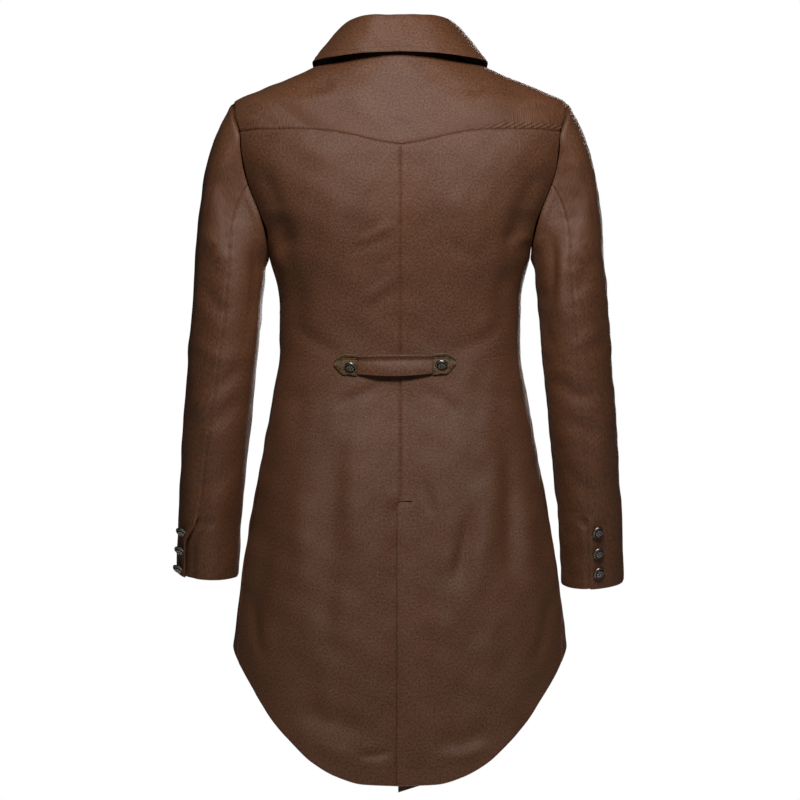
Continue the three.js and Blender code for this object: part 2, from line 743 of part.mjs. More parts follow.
// The whole sleeve as two closed grids of points, its outer and its inner face.
function sleeveGrids(sleeve) {
  const rows = evenly(CAP_ROWS + ARM_ROWS, (t) => {
    const row = Math.round(t * (CAP_ROWS + ARM_ROWS));
    const down = Math.max(0, (row - CAP_ROWS) / ARM_ROWS);
    const height = mix(SLEEVE_TOP, SLEEVE_HEM - sleeve.drop, down);
    return ARMHOLE_EDGE.map(({ point, off }, column) => {
      const ring = sleevePoint(height, turnAt(column, down, sleeve));
      if (row >= CAP_ROWS) return ring;
      const start = point.clone().addScaledVector(off, SEAM_GAP);
      return capPoint(start, ring, row / CAP_ROWS);
    });
  });
  const inner = rows.map((row, r) =>
    row.map((point, c) => {
      const normal = r === 0 ? edgeNormal(ARMHOLE_EDGE[c], rows, c) : loopNormal(rows, r, c);
      return point.clone().addScaledVector(normal, -WALL);
    }),
  );
  for (const point of [...rows.flat(), ...inner.flat()]) point.x *= sleeve.side;
  return [rows, inner];
}

// One piece of a sleeve, cut from the whole between two columns, its long edges
// drawn in by half a seam's gap.
function sleevePieceWall(grids, first, last) {
  const cut = (grid) =>
    grid.map((row) => {
      const points = [];
      for (let c = first; c <= last; c += 1) points.push(row[c % row.length].clone());
      const end = points.length - 1;
      const drawIn = (i, j) =>
        points[i].clone().lerp(points[j], (0.7 * SEAM_GAP) / points[i].distanceTo(points[j]));
      [points[0], points[end]] = [drawIn(0, 1), drawIn(end, end - 1)];
      return points;
    });
  return wallBetween(cut(grids[0]), cut(grids[1]));
}

// The cap's curve leaves the armhole outward and comes down into the arm.
function capPoint(start, end, t) {
  const reach = start.distanceTo(end);
  const leave = new THREE.Vector3(0.56, 0.0022 * (start.y + 10), -0.8).normalize().multiplyScalar(reach);
  const arrive = new THREE.Vector3(0.09, 0, -1).multiplyScalar(reach);
  const t2 = t * t;
  const t3 = t2 * t;
  return start
    .clone()
    .multiplyScalar(2 * t3 - 3 * t2 + 1)
    .addScaledVector(leave, t3 - 2 * t2 + t)
    .addScaledVector(end, 3 * t2 - 2 * t3)
    .addScaledVector(arrive, t3 - t2);
}

function loopNormal(rows, r, c) {
  const row = rows[r];
  const next = row[(c + 1) % row.length];
  const before = row[(c + row.length - 1) % row.length];
  const around = new THREE.Vector3().subVectors(next, before);
  const down = new THREE.Vector3().subVectors(rows[Math.min(r + 1, rows.length - 1)][c], rows[r - 1][c]);
  return down.cross(around).normalize();
}

// At the armhole the wall leans from the panel's normal to the way off the panel
// as the sleeve bends back, so that the two walls meet without crossing.
function edgeNormal({ normal, along, off }, rows, c) {
  const leave = new THREE.Vector3().subVectors(rows[1][c], rows[0][c]);
  leave.addScaledVector(along, -leave.dot(along)).normalize();
  const bend = THREE.MathUtils.radToDeg(Math.acos(THREE.MathUtils.clamp(leave.dot(off), -1, 1)));
  const lean = degrees(Math.min(90, Math.max(0, (bend - 40) * 0.9)));
  return normal.clone().multiplyScalar(Math.cos(lean)).addScaledVector(off, -Math.sin(lean));
}

// ---------------------------------------------------------------- half belt

// A strip across the back from one place to another, standing off the panels.
function beltWall(from, to, columns, halfHeight, standOff) {
  const grid = (offset) =>
    evenly(columns, (t) => {
      const across = mix(from, to, t);
      const middle = beltMiddle(across);
      return evenly(2, (s) => {
        const height = middle + halfHeight(t) * (1 - 2 * s);
        return formPoint(angleAcross(across, height), height, standOff(t) + offset);
      });
    });
  return wallBetween(grid(WALL), grid(0));
}

// The belt's middle line sags between its ends, and tilts down to the left a little.
function beltMiddle(across) {
  const half = (BELT.left_end - BELT.right_end) / 2;
  const centre = (BELT.left_end + BELT.right_end) / 2;
  const out = (across - centre) / half;
  return BELT.middle_height - (BELT.sag / 2) * (1 - out * out) - 0.5 * out;
}

function strapWall() {
  const standOff = (t) => LAP_CLEARANCE + BELT.bulge * Math.sin(Math.PI * t) ** 0.8;
  return beltWall(BELT.left_end, BELT.right_end, 8, () => BELT.strap_half_height, standOff);
}

function tabWall(side) {
  const inner = side > 0 ? BELT.left_end + SEAM_GAP : BELT.right_end - SEAM_GAP;
  const outer = inner + side * BELT.tab_length;
  const point = (t) => Math.max(0, (t - 0.6) / 0.4);
  const halfHeight = (t) => BELT.strap_half_height * (1 - 0.75 * point(t));
  return beltWall(inner, outer, 5, halfHeight, () => LAP_CLEARANCE);
}

// ---------------------------------------------------------------- buttons

function buttonMesh(name, seat, normal) {
  const profile = BUTTON_PROFILE.map(({ radius, height }) => new THREE.Vector2(radius, height));
  const geometry = new THREE.LatheGeometry(profile, BUTTON_SIDES);
  const mesh = new THREE.Mesh(geometry, SILVER.clone());
  mesh.name = name;
  mesh.position.copy(seat);
  mesh.quaternion.setFromUnitVectors(new THREE.Vector3(0, 1, 0), normal);
  return mesh;
}

function cuffButton(sideName, number) {
  const sleeve = SLEEVES[sideName];
  const height = CUFF_BUTTON_HEIGHTS[sideName][number];
  const down = (height - SLEEVE_TOP) / (SLEEVE_HEM - sleeve.drop - SLEEVE_TOP);
  const fromSeam = THREE.MathUtils.radToDeg(CUFF_BUTTON_FROM_SEAM[sideName] / CUFF_RADIUS);
  const turn = backSeamTurn(sleeve, down) - fromSeam;
  const ahead = sleevePoint(height, turn + 2).sub(sleevePoint(height, turn - 2));
  const up = sleevePoint(height + 2, turn).sub(sleevePoint(height - 2, turn));
  const normal = ahead.cross(up).normalize();
  const seat = sleevePoint(height, turn).addScaledVector(normal, LAP_CLEARANCE);
  seat.x *= sleeve.side;
  normal.x *= sleeve.side;
  return buttonMesh(`button_cuff_${sideName}_${number + 1}`, seat, normal);
}

function beltButton({ name, across, height }) {
  const angle = angleAcross(across, height);
  const seat = formPoint(angle, height, LAP_CLEARANCE + WALL + 0.5);
  return buttonMesh(name, seat, formNormal(angle, height));
}

function frontButton(height, number) {
  const lift = LAP_OFFSET + LAP_CLEARANCE;
  const seat = formPoint(180, height, lift);
  return buttonMesh(`button_front_${number + 1}`, seat, formNormal(180, height));
}

// ---------------------------------------------------------------- the coat

function piece(name, geometry, material) {
  const mesh = new THREE.Mesh(geometry, material.clone());
  mesh.name = name;
  return mesh;
}

const coat = new THREE.Group();
coat.name = "frock_coat";

const back = backPlaces();
const front = frontPlaces();

const body = new THREE.Group();
body.add(
  piece("back_yoke", panelWall(yokePlaces(back[0])), SATEEN),
  piece("back_left", panelWall(back), SATEEN),
  piece("back_right", panelWall(mirrored(back)), SATEEN),
  piece("vent_underlay", underlayWall(mirrored(back)), SATEEN_DARK),
  piece("front_left", panelWall(front, frontLift(1)), SATEEN),
  piece("front_right", panelWall(mirrored(front), frontLift(-1)), SATEEN),
  piece("lapel_left", lapelWall(1), SATEEN),
  piece("lapel_right", lapelWall(-1), SATEEN),
);

const collar = new THREE.Group();
collar.add(
  piece("collar_stand", collarStandWall(), SATEEN_DARK),
  piece("collar_fall", collarFallWall(), SATEEN),
);

const sleeves = new THREE.Group();
for (const [name, sleeve] of Object.entries(SLEEVES)) {
  const grids = sleeveGrids(sleeve);
  const upper = sleevePieceWall(grids, 0, UPPER_COLUMNS);
  const under = sleevePieceWall(grids, UPPER_COLUMNS, LOOP.length);
  sleeves.add(
    piece(`upper_sleeve_${name}`, upper, SATEEN),
    piece(`under_sleeve_${name}`, under, SATEEN_DARK),
  );
}

const belt = new THREE.Group();
belt.add(
  piece("belt_strap", strapWall(), SATEEN),
  piece("belt_tab_left", tabWall(1), BROCADE),
  piece("belt_tab_right", tabWall(-1), BROCADE),
);

const buttons = new THREE.Group();
buttons.add(...BELT_BUTTONS.map(beltButton));
for (const name of Object.keys(SLEEVES)) {
  buttons.add(...CUFF_BUTTON_HEIGHTS[name].map((_, number) => cuffButton(name, number)));
}
buttons.add(...FRONT_BUTTON_HEIGHTS.map(frontButton));

coat.add(body, collar, sleeves, belt, buttons);

export default coat;
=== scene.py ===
"""Frock coat in brown sateen: its cloth, trimmings and buttons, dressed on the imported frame.

Sizes are millimetres in the coat's own frame until a mesh is made, which is in metres.
The coat faces -Y, its back is at +Y, the wearer's left is at +X and +Z is up.
"""
import logging
import math
from dataclasses import dataclass, field
from enum import Enum
from typing import Callable, Iterable, Sequence

import bpy
import numpy as np
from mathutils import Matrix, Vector


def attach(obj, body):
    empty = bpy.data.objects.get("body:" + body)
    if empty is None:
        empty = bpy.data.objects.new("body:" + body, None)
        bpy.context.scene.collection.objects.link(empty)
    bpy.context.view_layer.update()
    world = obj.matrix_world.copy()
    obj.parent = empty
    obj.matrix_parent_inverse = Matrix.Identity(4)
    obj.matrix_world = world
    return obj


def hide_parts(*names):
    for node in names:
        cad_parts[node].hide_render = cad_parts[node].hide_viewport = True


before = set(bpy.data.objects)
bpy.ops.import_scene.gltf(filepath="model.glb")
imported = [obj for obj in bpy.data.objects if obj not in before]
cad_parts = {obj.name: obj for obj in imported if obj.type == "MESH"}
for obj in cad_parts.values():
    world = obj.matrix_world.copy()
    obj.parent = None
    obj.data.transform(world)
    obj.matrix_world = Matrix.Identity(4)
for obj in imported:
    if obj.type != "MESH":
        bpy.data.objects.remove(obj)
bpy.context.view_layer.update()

LOG = logging.getLogger("frock_coat")
Array = np.ndarray
METRES = 0.001
CLOTH = 1.5  # thickness of the wall of cloth
ROOT = "root"


# ---------------------------------------------------------------- curves and tables


class Table:
    """Rows of named columns. The first column is the place, and the others are read smoothly."""

    def __init__(self, names: str, *rows: Sequence[float]) -> None:
        """Stores the rows in rising order of place.

        Args:
            names: the columns' names, parted by spaces.
            rows: one tuple of numbers for each row.
        """
        self.names = names.split()
        values = np.array(rows, float)
        self.values = values if values[0, 0] < values[-1, 0] else values[::-1]

    def read(self, column: str, places: Array | float) -> Array:
        """Reads one column along a smooth curve that never passes beyond its rows.

        Args:
            column: the column's name.
            places: where to read it.
        Returns:
            The column's values at those places.
        """
        keys = self.values[:, 0]
        values = self.values[:, self.names.index(column)]
        slopes = np.diff(values) / np.diff(keys)
        tangents = np.concatenate([slopes[:1], slopes[:-1], slopes[-1:]])
        before, after = slopes[:-1], slopes[1:]
        same_way = before * after > 0
        total = np.where(same_way, before + after, 1.0)
        tangents[1:-1] = np.where(same_way, 2 * before * after / total, 0.0)
        places = np.asarray(places, float)
        row = np.clip(np.searchsorted(keys, places) - 1, 0, len(keys) - 2)
        span = keys[row + 1] - keys[row]
        t = (places - keys[row]) / span
        inside = np.clip(t, 0, 1)
        leave, arrive = tangents[row] * span, tangents[row + 1] * span
        smooth = hermite(values[row], leave, values[row + 1], arrive, inside)
        beyond = (t - inside) * span
        return smooth + beyond * np.where(t < 0, tangents[row], tangents[row + 1])


def hermite(start: Array, leave: Array, end: Array, arrive: Array, t: Array) -> Array:
    """A cubic from start to end with the given tangents."""
    t2, t3 = t * t, t * t * t
    ends = (2 * t3 - 3 * t2 + 1) * start + (3 * t2 - 2 * t3) * end
    return ends + (t3 - 2 * t2 + t) * leave + (t3 - t2) * arrive


def mix(a: Array | float, b: Array | float, t: Array | float) -> Array:
    """A straight blend from a to b."""
    return a + (b - a) * t


def ramp(t: Array | float, low: float, high: float) -> Array:
    """Rises smoothly from 0 at low to 1 at high."""
    s = np.clip((np.asarray(t, float) - low) / (high - low), 0, 1)
    return s * s * (3 - 2 * s)


def unit(vectors: Array) -> Array:
    """The vectors with their lengths made one."""
    return vectors / np.maximum(np.linalg.norm(vectors, axis=-1, keepdims=True), 1e-9)


def smooth_through(rows: Array, count: int) -> Array:
    """A smooth curve through all rows.

    Args:
        rows: the points to pass through.
        count: how many points to return.
    Returns:
        Points along the curve, evenly spaced by row number.
    """
    place = np.linspace(0, len(rows) - 1, count)
    row = np.minimum(place.astype(int), len(rows) - 2)
    t = (place - row)[:, None]
    at = lambda i: rows[np.clip(i, 0, len(rows) - 1)]
    leave = (at(row + 1) - at(row - 1)) / 2
    arrive = (at(row + 2) - at(row)) / 2
    return hermite(at(row), leave, at(row + 1), arrive, t)


def arc_lengths(points: Array) -> Array:
    """How far along a line of points each one lies."""
    steps = np.linalg.norm(np.diff(points, axis=0), axis=-1)
    return np.concatenate([[0.0], np.cumsum(steps)])


def crowded(count: int, crowding: float = 0.75) -> Array:
    """Places from 0 to 1 that lie closer together near both ends."""
    t = np.linspace(0, 1, count)
    return t - crowding * np.sin(2 * math.pi * t) / (2 * math.pi)


# ---------------------------------------------------------------- the coat's form


class BodyForm:
    """The hollow form that the body of the coat holds, read by an angle and a height.

    The angle is 0 at centre back, 90 at the wearer's left side and 180 at centre front.
    """

    rings = Table(
        "height half_width back front side square",
        (40, 52, 52, -30, 8, 2),
        (18, 62, 60, -42, 8, 2),
        (0, 78, 67, -52, 6, 2),
        (-15, 113, 74, -61, 4, 2),
        (-30, 148, 80, -69, 2, 2),
        (-45, 184, 86, -77, 0, 2),
        (-62, 221.5, 92, -87, -2, 2.05),
        (-90, 236, 101, -102, -4, 2.1),
        (-136, 224, 112, -118, -6, 2.2),
        (-200, 199, 117, -128, -8, 2.25),
        (-268, 173, 110, -125, -8, 2.25),
        (-330, 160.5, 100, -118, -8, 2.2),
        (-390, 160, 94, -114, -8, 2.2),
        (-450, 168.5, 99, -118, -8, 2.2),
        (-520, 181, 112, -125, -6, 2.15),
        (-600, 194.5, 124, -130, -4, 2.1),
        (-700, 211, 135, -136, -2, 2.1),
        (-788, 222, 142, -140, 0, 2.1),
        (-980, 233, 152, -146, 2, 2.1),
    )

    def point(self, angle: Array, height: Array) -> Array:
        """The outer face of the cloth at each angle (degrees) and height."""
        angle, height = np.broadcast_arrays(np.asarray(angle, float), np.asarray(height, float))
        sine, cosine = np.sin(np.radians(angle)), np.cos(np.radians(angle))
        square = self.rings.read("square", height)
        swell = (np.abs(sine) ** square + np.abs(cosine) ** square) ** (-1 / square)
        side = self.rings.read("side", height)
        back = self.rings.read("back", height) - side
        front = side - self.rings.read("front", height)
        depth = np.where(cosine > 0, back, front)
        across = self.rings.read("half_width", height) * sine * swell
        return np.stack([across, side + depth * cosine * swell, height], axis=-1)

    def normal(self, angle: Array, height: Array) -> Array:
        """The way out of the cloth at each angle and height."""
        step = 0.05
        around = self.point(angle + step, height) - self.point(angle - step, height)
        up = self.point(angle, height + step) - self.point(angle, height - step)
        return unit(np.cross(up, around))

    def angle_across(self, across: Array, height: Array, on_front: bool = False) -> Array:
        """The angle at which the form passes a place across the back or the front.

        Args:
            across: the places, positive to the wearer's left.
            height: their heights.
            on_front: whether the place is on the front.
        Returns:
            The angles in degrees.
        """
        across, height = np.broadcast_arrays(np.asarray(across, float), np.asarray(height, float))
        low, high = np.full(across.shape, -90.0), np.full(across.shape, 90.0)
        for _ in range(30):
            middle = (low + high) / 2
            short = self.point(middle, height)[..., 0] < across
            low, high = np.where(short, middle, low), np.where(short, high, middle)
        return 180 - low if on_front else low


class Pattern:
    """The cut edges of the body's pieces, as places (angle, height) on the form."""

    hem = Table(
        "angle height",
        (0, -965),
        (12, -963),
        (21, -953),
        (30, -934),
        (39, -906),
        (46, -884),
        (54, -855),
        (64, -824),
        (77, -798),
        (90, -783),
        (105, -766),
        (120, -749),
        (134, -730),
        (144, -706),
    )
    yoke_seam = Table(
        "angle height",
        (0, -121),
        (7, -116),
        (15, -108),
        (24, -101.5),
        (34, -99),
        (48, -99),
        (63.5, -102),
    )
    side_seam = Table(
        "height angle",
        (-268, 90),
        (-330, 88),
        (-450, 87),
        (-600, 85),
        (-700, 81),
        (-755, 77),
        (-810, 72),
    )
    neck_edge = Table("angle height", (0, 18), (25, 16.5), (50, 12), (72, 6.5), (97, 1.5))
    cutaway = Table(
        "height angle",
        (-250, 187),
        (-330, 187.5),
        (-420, 187.5),
        (-480, 184),
        (-540, 177),
        (-600, 168),
        (-650, 158),
        (-690, 148),
        (-706, 144),
    )
    # From the shoulder seam down the back, under the arm and up the front. It closes on itself.
    armhole = np.array(
        [
            (97, -63.5),
            (90, -62),
            (80, -65),
            (70.5, -76),
            (63.5, -102),
            (67, -136),
            (70, -172),
            (70, -212),
            (76, -244),
            (90, -268),
            (108, -244),
            (118, -210),
            (123, -172),
            (125, -136),
            (122, -104),
            (112, -78),
        ],
        float,
    )
    YOKE_END = 4
    BACK_SLEEVE_SEAM = 6
    ARMHOLE_FOOT = 9
    FRONT_SLEEVE_SEAM = 11
    ARMHOLE_TURN = 16
    SHOULDER_SEAM = 97.0
    NECK_POINT = 1.5
    BREAK_HEIGHT = -250.0
    FRONT_LAP = 20.0
    CORNER_HEIGHT = -706.0
    VENT_TOP = -588.0

    def __init__(self, form: BodyForm) -> None:
        """Keeps the form that the pieces lie on."""
        self.form = form

    def armhole_run(self, first: int, last: int, at: Array) -> Array:
        """Places along the armhole between two of its rows, spaced by distance.

        Args:
            first: the row where the run starts.
            last: the row where it ends.
            at: parts of the way, from 0 to 1.
        Returns:
            The places (angle, height).
        """
        per_row = 40
        margin = 2
        rows = np.arange(first - margin, last + margin + 1) % self.ARMHOLE_TURN
        whole = smooth_through(self.armhole[rows], per_row * (len(rows) - 1) + 1)
        run = whole[margin * per_row : len(whole) - margin * per_row]
        length = arc_lengths(self.form.point(run[:, 0], run[:, 1]))
        return np.stack([np.interp(at * length[-1], length, run[:, i]) for i in (0, 1)], axis=-1)

    def side_foot(self) -> float:
        """The height at which the side seam meets the hem."""
        height = -780.0
        for _ in range(30):
            height = float(self.hem.read("height", self.side_seam.read("angle", height)))
        return height

    def side_edge(self, first: int, last: int, at: Array) -> Array:
        """An armhole run and then the side seam, as one edge.

        Args:
            first: the armhole's row where the edge starts.
            last: the armhole's row at its foot, before first where the run goes back to it.
            at: parts of the way down, from 0 to 1.
        Returns:
            The places (angle, height).
        """
        fine = np.linspace(0, 1, 200)
        arm = self.armhole_run(min(first, last), max(first, last), fine)
        arm = arm if first < last else arm[::-1]
        heights = mix(arm[-1, 1], self.side_foot(), fine)
        seam = np.stack([self.side_seam.read("angle", heights), heights], axis=-1)
        both = np.concatenate([arm, seam[1:]])
        length = arc_lengths(self.form.point(both[:, 0], both[:, 1]))
        return np.stack([np.interp(at * length[-1], length, both[:, i]) for i in (0, 1)], axis=-1)

    def roll_line(self, part: Array) -> Array:
        """Places on the lapel's roll line, from the neck (0) to the break (1)."""
        start = self.form.point(self.SHOULDER_SEAM, self.NECK_POINT)
        height = mix(self.NECK_POINT, self.BREAK_HEIGHT, part)
        across = mix(start[0], -self.FRONT_LAP, part)
        angle = self.form.angle_across(across, height, on_front=True)
        angle = np.where(np.asarray(part) <= 0, self.SHOULDER_SEAM, angle)
        return np.stack([angle, height], axis=-1)

    def shoulder_seam(self, at: Array) -> Array:
        """Places on the shoulder seam, from the armhole (0) to the neck (1)."""
        height = mix(self.armhole[0, 1], self.NECK_POINT, at)
        return np.stack([np.full(at.shape, self.SHOULDER_SEAM), height], axis=-1)


def patch(top: Array, bottom: Array, left: Array, right: Array, u: Array, v: Array) -> Array:
    """Blends four edges of places into a grid.

    Args:
        top: places from left to right.
        bottom: places from left to right.
        left: places from top to bottom.
        right: places from top to bottom.
        u: the columns' parts of the way across.
        v: the rows' parts of the way down.
    Returns:
        The grid of places, rows by columns.
    """
    u, v = u[None, :, None], v[:, None, None]
    edges = mix(top[None], bottom[None], v) + mix(left[:, None], right[:, None], u)
    corners = mix(mix(top[0], top[-1], u), mix(bottom[0], bottom[-1], u), v)
    return edges - corners


# ---------------------------------------------------------------- relief


@dataclass(frozen=True)
class Crease:
    """A soft fold along a curve.

    Attributes:
        path: places (across, height) that the curve passes through.
        width: how far it spreads to each side.
        rise: its height, or its depth where negative.
        step: how much higher the cloth lies just left of the path than just right of it.
        fade: the part of its length over which each end dies away.
    """

    path: tuple[tuple[float, float], ...]
    width: float
    rise: float = 0.0
    step: float = 0.0
    fade: float = 0.35

    def relief(self, across: Array, height: Array) -> Array:
        """How far the fold lifts the cloth at each place."""
        line = smooth_through(np.array(self.path, float), 28)
        length = arc_lengths(line)
        nearest = np.full(across.shape, 1e9)
        signed = np.zeros(across.shape)
        along = np.zeros(across.shape)
        for i in range(len(line) - 1):
            start, way = line[i], line[i + 1] - line[i]
            size = max(float(np.hypot(*way)), 1e-6)
            x, z = across - start[0], height - start[1]
            t = np.clip((x * way[0] + z * way[1]) / size**2, 0, 1)
            gap = np.hypot(x - t * way[0], z - t * way[1])
            closer = gap < nearest
            side = np.sign(way[0] * z - way[1] * x)
            nearest = np.where(closer, gap, nearest)
            signed = np.where(closer, gap * side, signed)
            along = np.where(closer, (length[i] + t * size) / length[-1], along)
        ends = ramp(along, 0, self.fade) * (1 - ramp(along, 1 - self.fade, 1))
        out = signed / self.width
        return ends * np.exp(-out * out) * (self.rise + self.step * 1.65 * out)


# How much deeper the folds are than the rises given with them.
FOLD_DEPTH = 1.7


def folded(creases: Iterable[Crease], across: Array, height: Array) -> Array:
    """The relief of several creases together."""
    return FOLD_DEPTH * sum((crease.relief(across, height) for crease in creases), np.zeros(across.shape))


def wavering(across: Array, height: Array, seed: int, size: float, shortest: float, longest: float) -> Array:
    """Small smooth unevenness, the same on every run.

    Args:
        across: places across the cloth.
        height: places up the cloth.
        seed: which unevenness.
        size: its typical height.
        shortest: its shortest wave.
        longest: its longest wave.
    Returns:
        The relief.
    """
    random = np.random.default_rng(seed)
    waves = 14
    total = np.zeros(across.shape)
    for _ in range(waves):
        way = random.uniform(0, math.pi)
        wave = 2 * math.pi / random.uniform(shortest, longest)
        total += np.sin(wave * (across * math.cos(way) + height * math.sin(way)) + random.uniform(0, 6.28))
    return size * total / math.sqrt(waves / 2)


# ---------------------------------------------------------------- pieces of cloth


class Edge(Enum):
    """The edges of a cut piece, by where they lie on its grid."""

    TOP = "top"
    BOTTOM = "bottom"
    LEFT = "left"
    RIGHT = "right"


class Side(Enum):
    """The wearer's sides, by the sign of X."""

    LEFT = 1
    RIGHT = -1

    @property
    def word(self) -> str:
        """The side's name in the names of pieces."""
        return self.name.lower()


Weight = Array | float


@dataclass
class ClothPiece:
    """One cut piece as a thin wall of cloth on a grid, rows down and columns across.

    Attributes:
        name: the piece's name, which is also its node's.
        points: its outer face before relief.
        normals: the way out at each point.
        seams: how far each edge is sewn to a neighbour, and so sunk into a groove.
        folds: how far each edge is turned and pressed, and so round.
        relief: how far each point stands off the grid.
        thickness: of its wall.
    """

    name: str
    points: Array
    normals: Array
    seams: dict[Edge, Weight] = field(default_factory=dict)
    folds: dict[Edge, Weight] = field(default_factory=dict)
    relief: Weight = 0.0
    thickness: float = CLOTH
    GROOVE_DEPTH = 1.15
    GROOVE_WIDTH = 1.25
    SEAM_RIDGE = 0.18

    def distances(self) -> dict[Edge, Array]:
        """How far each point lies from each edge, along the cloth."""
        across = np.linalg.norm(np.diff(self.points, axis=1), axis=-1)
        down = np.linalg.norm(np.diff(self.points, axis=0), axis=-1)
        left = np.pad(np.cumsum(across, axis=1), ((0, 0), (1, 0)))
        top = np.pad(np.cumsum(down, axis=0), ((1, 0), (0, 0)))
        return {Edge.LEFT: left, Edge.RIGHT: left[:, -1:] - left, Edge.TOP: top, Edge.BOTTOM: top[-1:] - top}

    def outer(self) -> Array:
        """The outer face with its relief, seams and turned edges."""
        return self.points + self.normals * self.offsets()[0][..., None]

    def offsets(self) -> tuple[Array, Array]:
        """How far the outer and the inner face stand off the grid."""
        outer = np.zeros(self.points.shape[:2]) + self.relief
        inner = outer - self.thickness
        half = self.thickness / 2
        gaps = self.distances()
        for edge, weight in self.seams.items():
            groove = self.GROOVE_DEPTH * np.exp(-((gaps[edge] / self.GROOVE_WIDTH) ** 2))
            ridge = self.SEAM_RIDGE * np.exp(-(((gaps[edge] - 4.2) / 2.4) ** 2))
            outer = outer + (ridge - groove) * weight
        for edge, weight in self.folds.items():
            inside = 1 - np.clip(gaps[edge] / half, 0, 1)
            turn = half * (1 - np.sqrt(1 - inside * inside)) * weight
            outer, inner = outer - turn, inner + turn
        return outer, np.minimum(inner, outer - 0.02)

    def build(self) -> bpy.types.Object:
        """Makes the wall's mesh, with a map of the cloth's own metres for its weave."""
        outer, inner = (self.points + self.normals * by[..., None] for by in self.offsets())
        rows, columns = outer.shape[:2]
        index = np.arange(rows * columns).reshape(rows, columns)
        quads = quads_of(index)
        ring = np.concatenate([index[0], index[1:, -1], index[-1, -2::-1], index[-2:0:-1, 0]])
        count = rows * columns
        following = np.roll(ring, -1)
        rim = np.stack([ring, ring + count, following + count, following], axis=-1)
        faces = np.concatenate([quads, quads[:, ::-1] + count, rim])
        points = np.concatenate([outer.reshape(-1, 3), inner.reshape(-1, 3)])
        gaps = self.distances()
        cloth_map = np.stack([gaps[Edge.LEFT], -gaps[Edge.TOP]], axis=-1).reshape(-1, 2)
        return make_mesh(f"{self.name}_cloth", points, faces, np.concatenate([cloth_map, cloth_map]))

    def declare(self, piece: bpy.types.Object, held: str) -> None:
        """Measures the cloth's own lengths across and down the piece, and does nothing more with them."""
        gaps = self.distances()
        across = np.diff(self.points, axis=1)[:-1]
        down = np.diff(self.points, axis=0)[:, :-1]

    def trace(self, values: Array, level: float, down_columns: bool = True) -> tuple[Array, Array]:
        """Follows the line where some value of the grid reaches a level.

        Args:
            values: a value for each point that rises or falls steadily along each line.
            level: the value to follow.
            down_columns: whether to look down each column, or else along each row.
        Returns:
            The line's points on the finished outer face, and the way out at each.
        """
        outer, normals = self.outer(), self.normals
        if not down_columns:
            values, outer, normals = values.T, outer.swapaxes(0, 1), normals.swapaxes(0, 1)
        found_points, found_normals = [], []
        for column in range(values.shape[1]):
            line = values[:, column]
            order = np.argsort(line)
            if not line[order[0]] <= level <= line[order[-1]]:
                continue
            at = np.interp(level, line[order], order.astype(float))
            low = min(int(at), len(line) - 2)
            part = at - low
            found_points.append(mix(outer[low, column], outer[low + 1, column], part))
            found_normals.append(mix(normals[low, column], normals[low + 1, column], part))
        return np.array(found_points), unit(np.array(found_normals))


def quads_of(index: Array) -> Array:
    """The quads of a grid of point numbers."""
    corners = [index[:-1, :-1], index[1:, :-1], index[1:, 1:], index[:-1, 1:]]
    return np.stack(corners, axis=-1).reshape(-1, 4)


def make_mesh(name: str, points: Array, faces: Array, cloth_map: Array | None = None) -> bpy.types.Object:
    """Makes a smooth object from points in millimetres, its faces turned outward.

    Args:
        name: the object's name.
        points: its points.
        faces: its quads or triangles, by point number.
        cloth_map: for each point, its place on the cloth in millimetres.
    Returns:
        The object, in the scene.
    """
    volume = 0.0
    for k in range(1, faces.shape[1] - 1):
        turned = np.cross(points[faces[:, k]], points[faces[:, k + 1]])
        volume += float(np.sum(points[faces[:, 0]] * turned))
    if volume < 0:
        faces = faces[:, ::-1]
    mesh = bpy.data.meshes.new(name)
    mesh.from_pydata((points * METRES).tolist(), [], faces.tolist())
    if cloth_map is not None:
        layer = mesh.uv_layers.new(name="cloth")
        layer.data.foreach_set("uv", (cloth_map[faces.reshape(-1)] * METRES).astype(np.float32).ravel())
    mesh.polygons.foreach_set("use_smooth", np.ones(len(faces), bool))
    mesh.update()
    piece = bpy.data.objects.new(name, mesh)
    bpy.context.scene.collection.objects.link(piece)
    return piece


def settle(piece: bpy.types.Object, material: bpy.types.Material, slot: str, *nodes: str) -> None:
    """Gives a piece its material and its ride on the coat, hides the nodes that it stands for and logs its
    slot.
    """
    piece.data.materials.append(material)
    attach(piece, ROOT)
    if nodes:
        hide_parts(*nodes)
    LOG.info("%s: %d faces, slot %s", piece.name, len(piece.data.polygons), slot)


def grid_normals(points: Array, middle: Array) -> Array:
    """The way out of a grid of points.

    Args:
        points: the grid.
        middle: a point inside the hollow for each of them.
    Returns:
        One unit vector for each point.
    """
    normals = unit(np.cross(np.gradient(points, axis=0), np.gradient(points, axis=1)))
    inward = np.sum(normals * (points - middle)) < 0
    return -normals if inward else normals


# ---------------------------------------------------------------- sewing


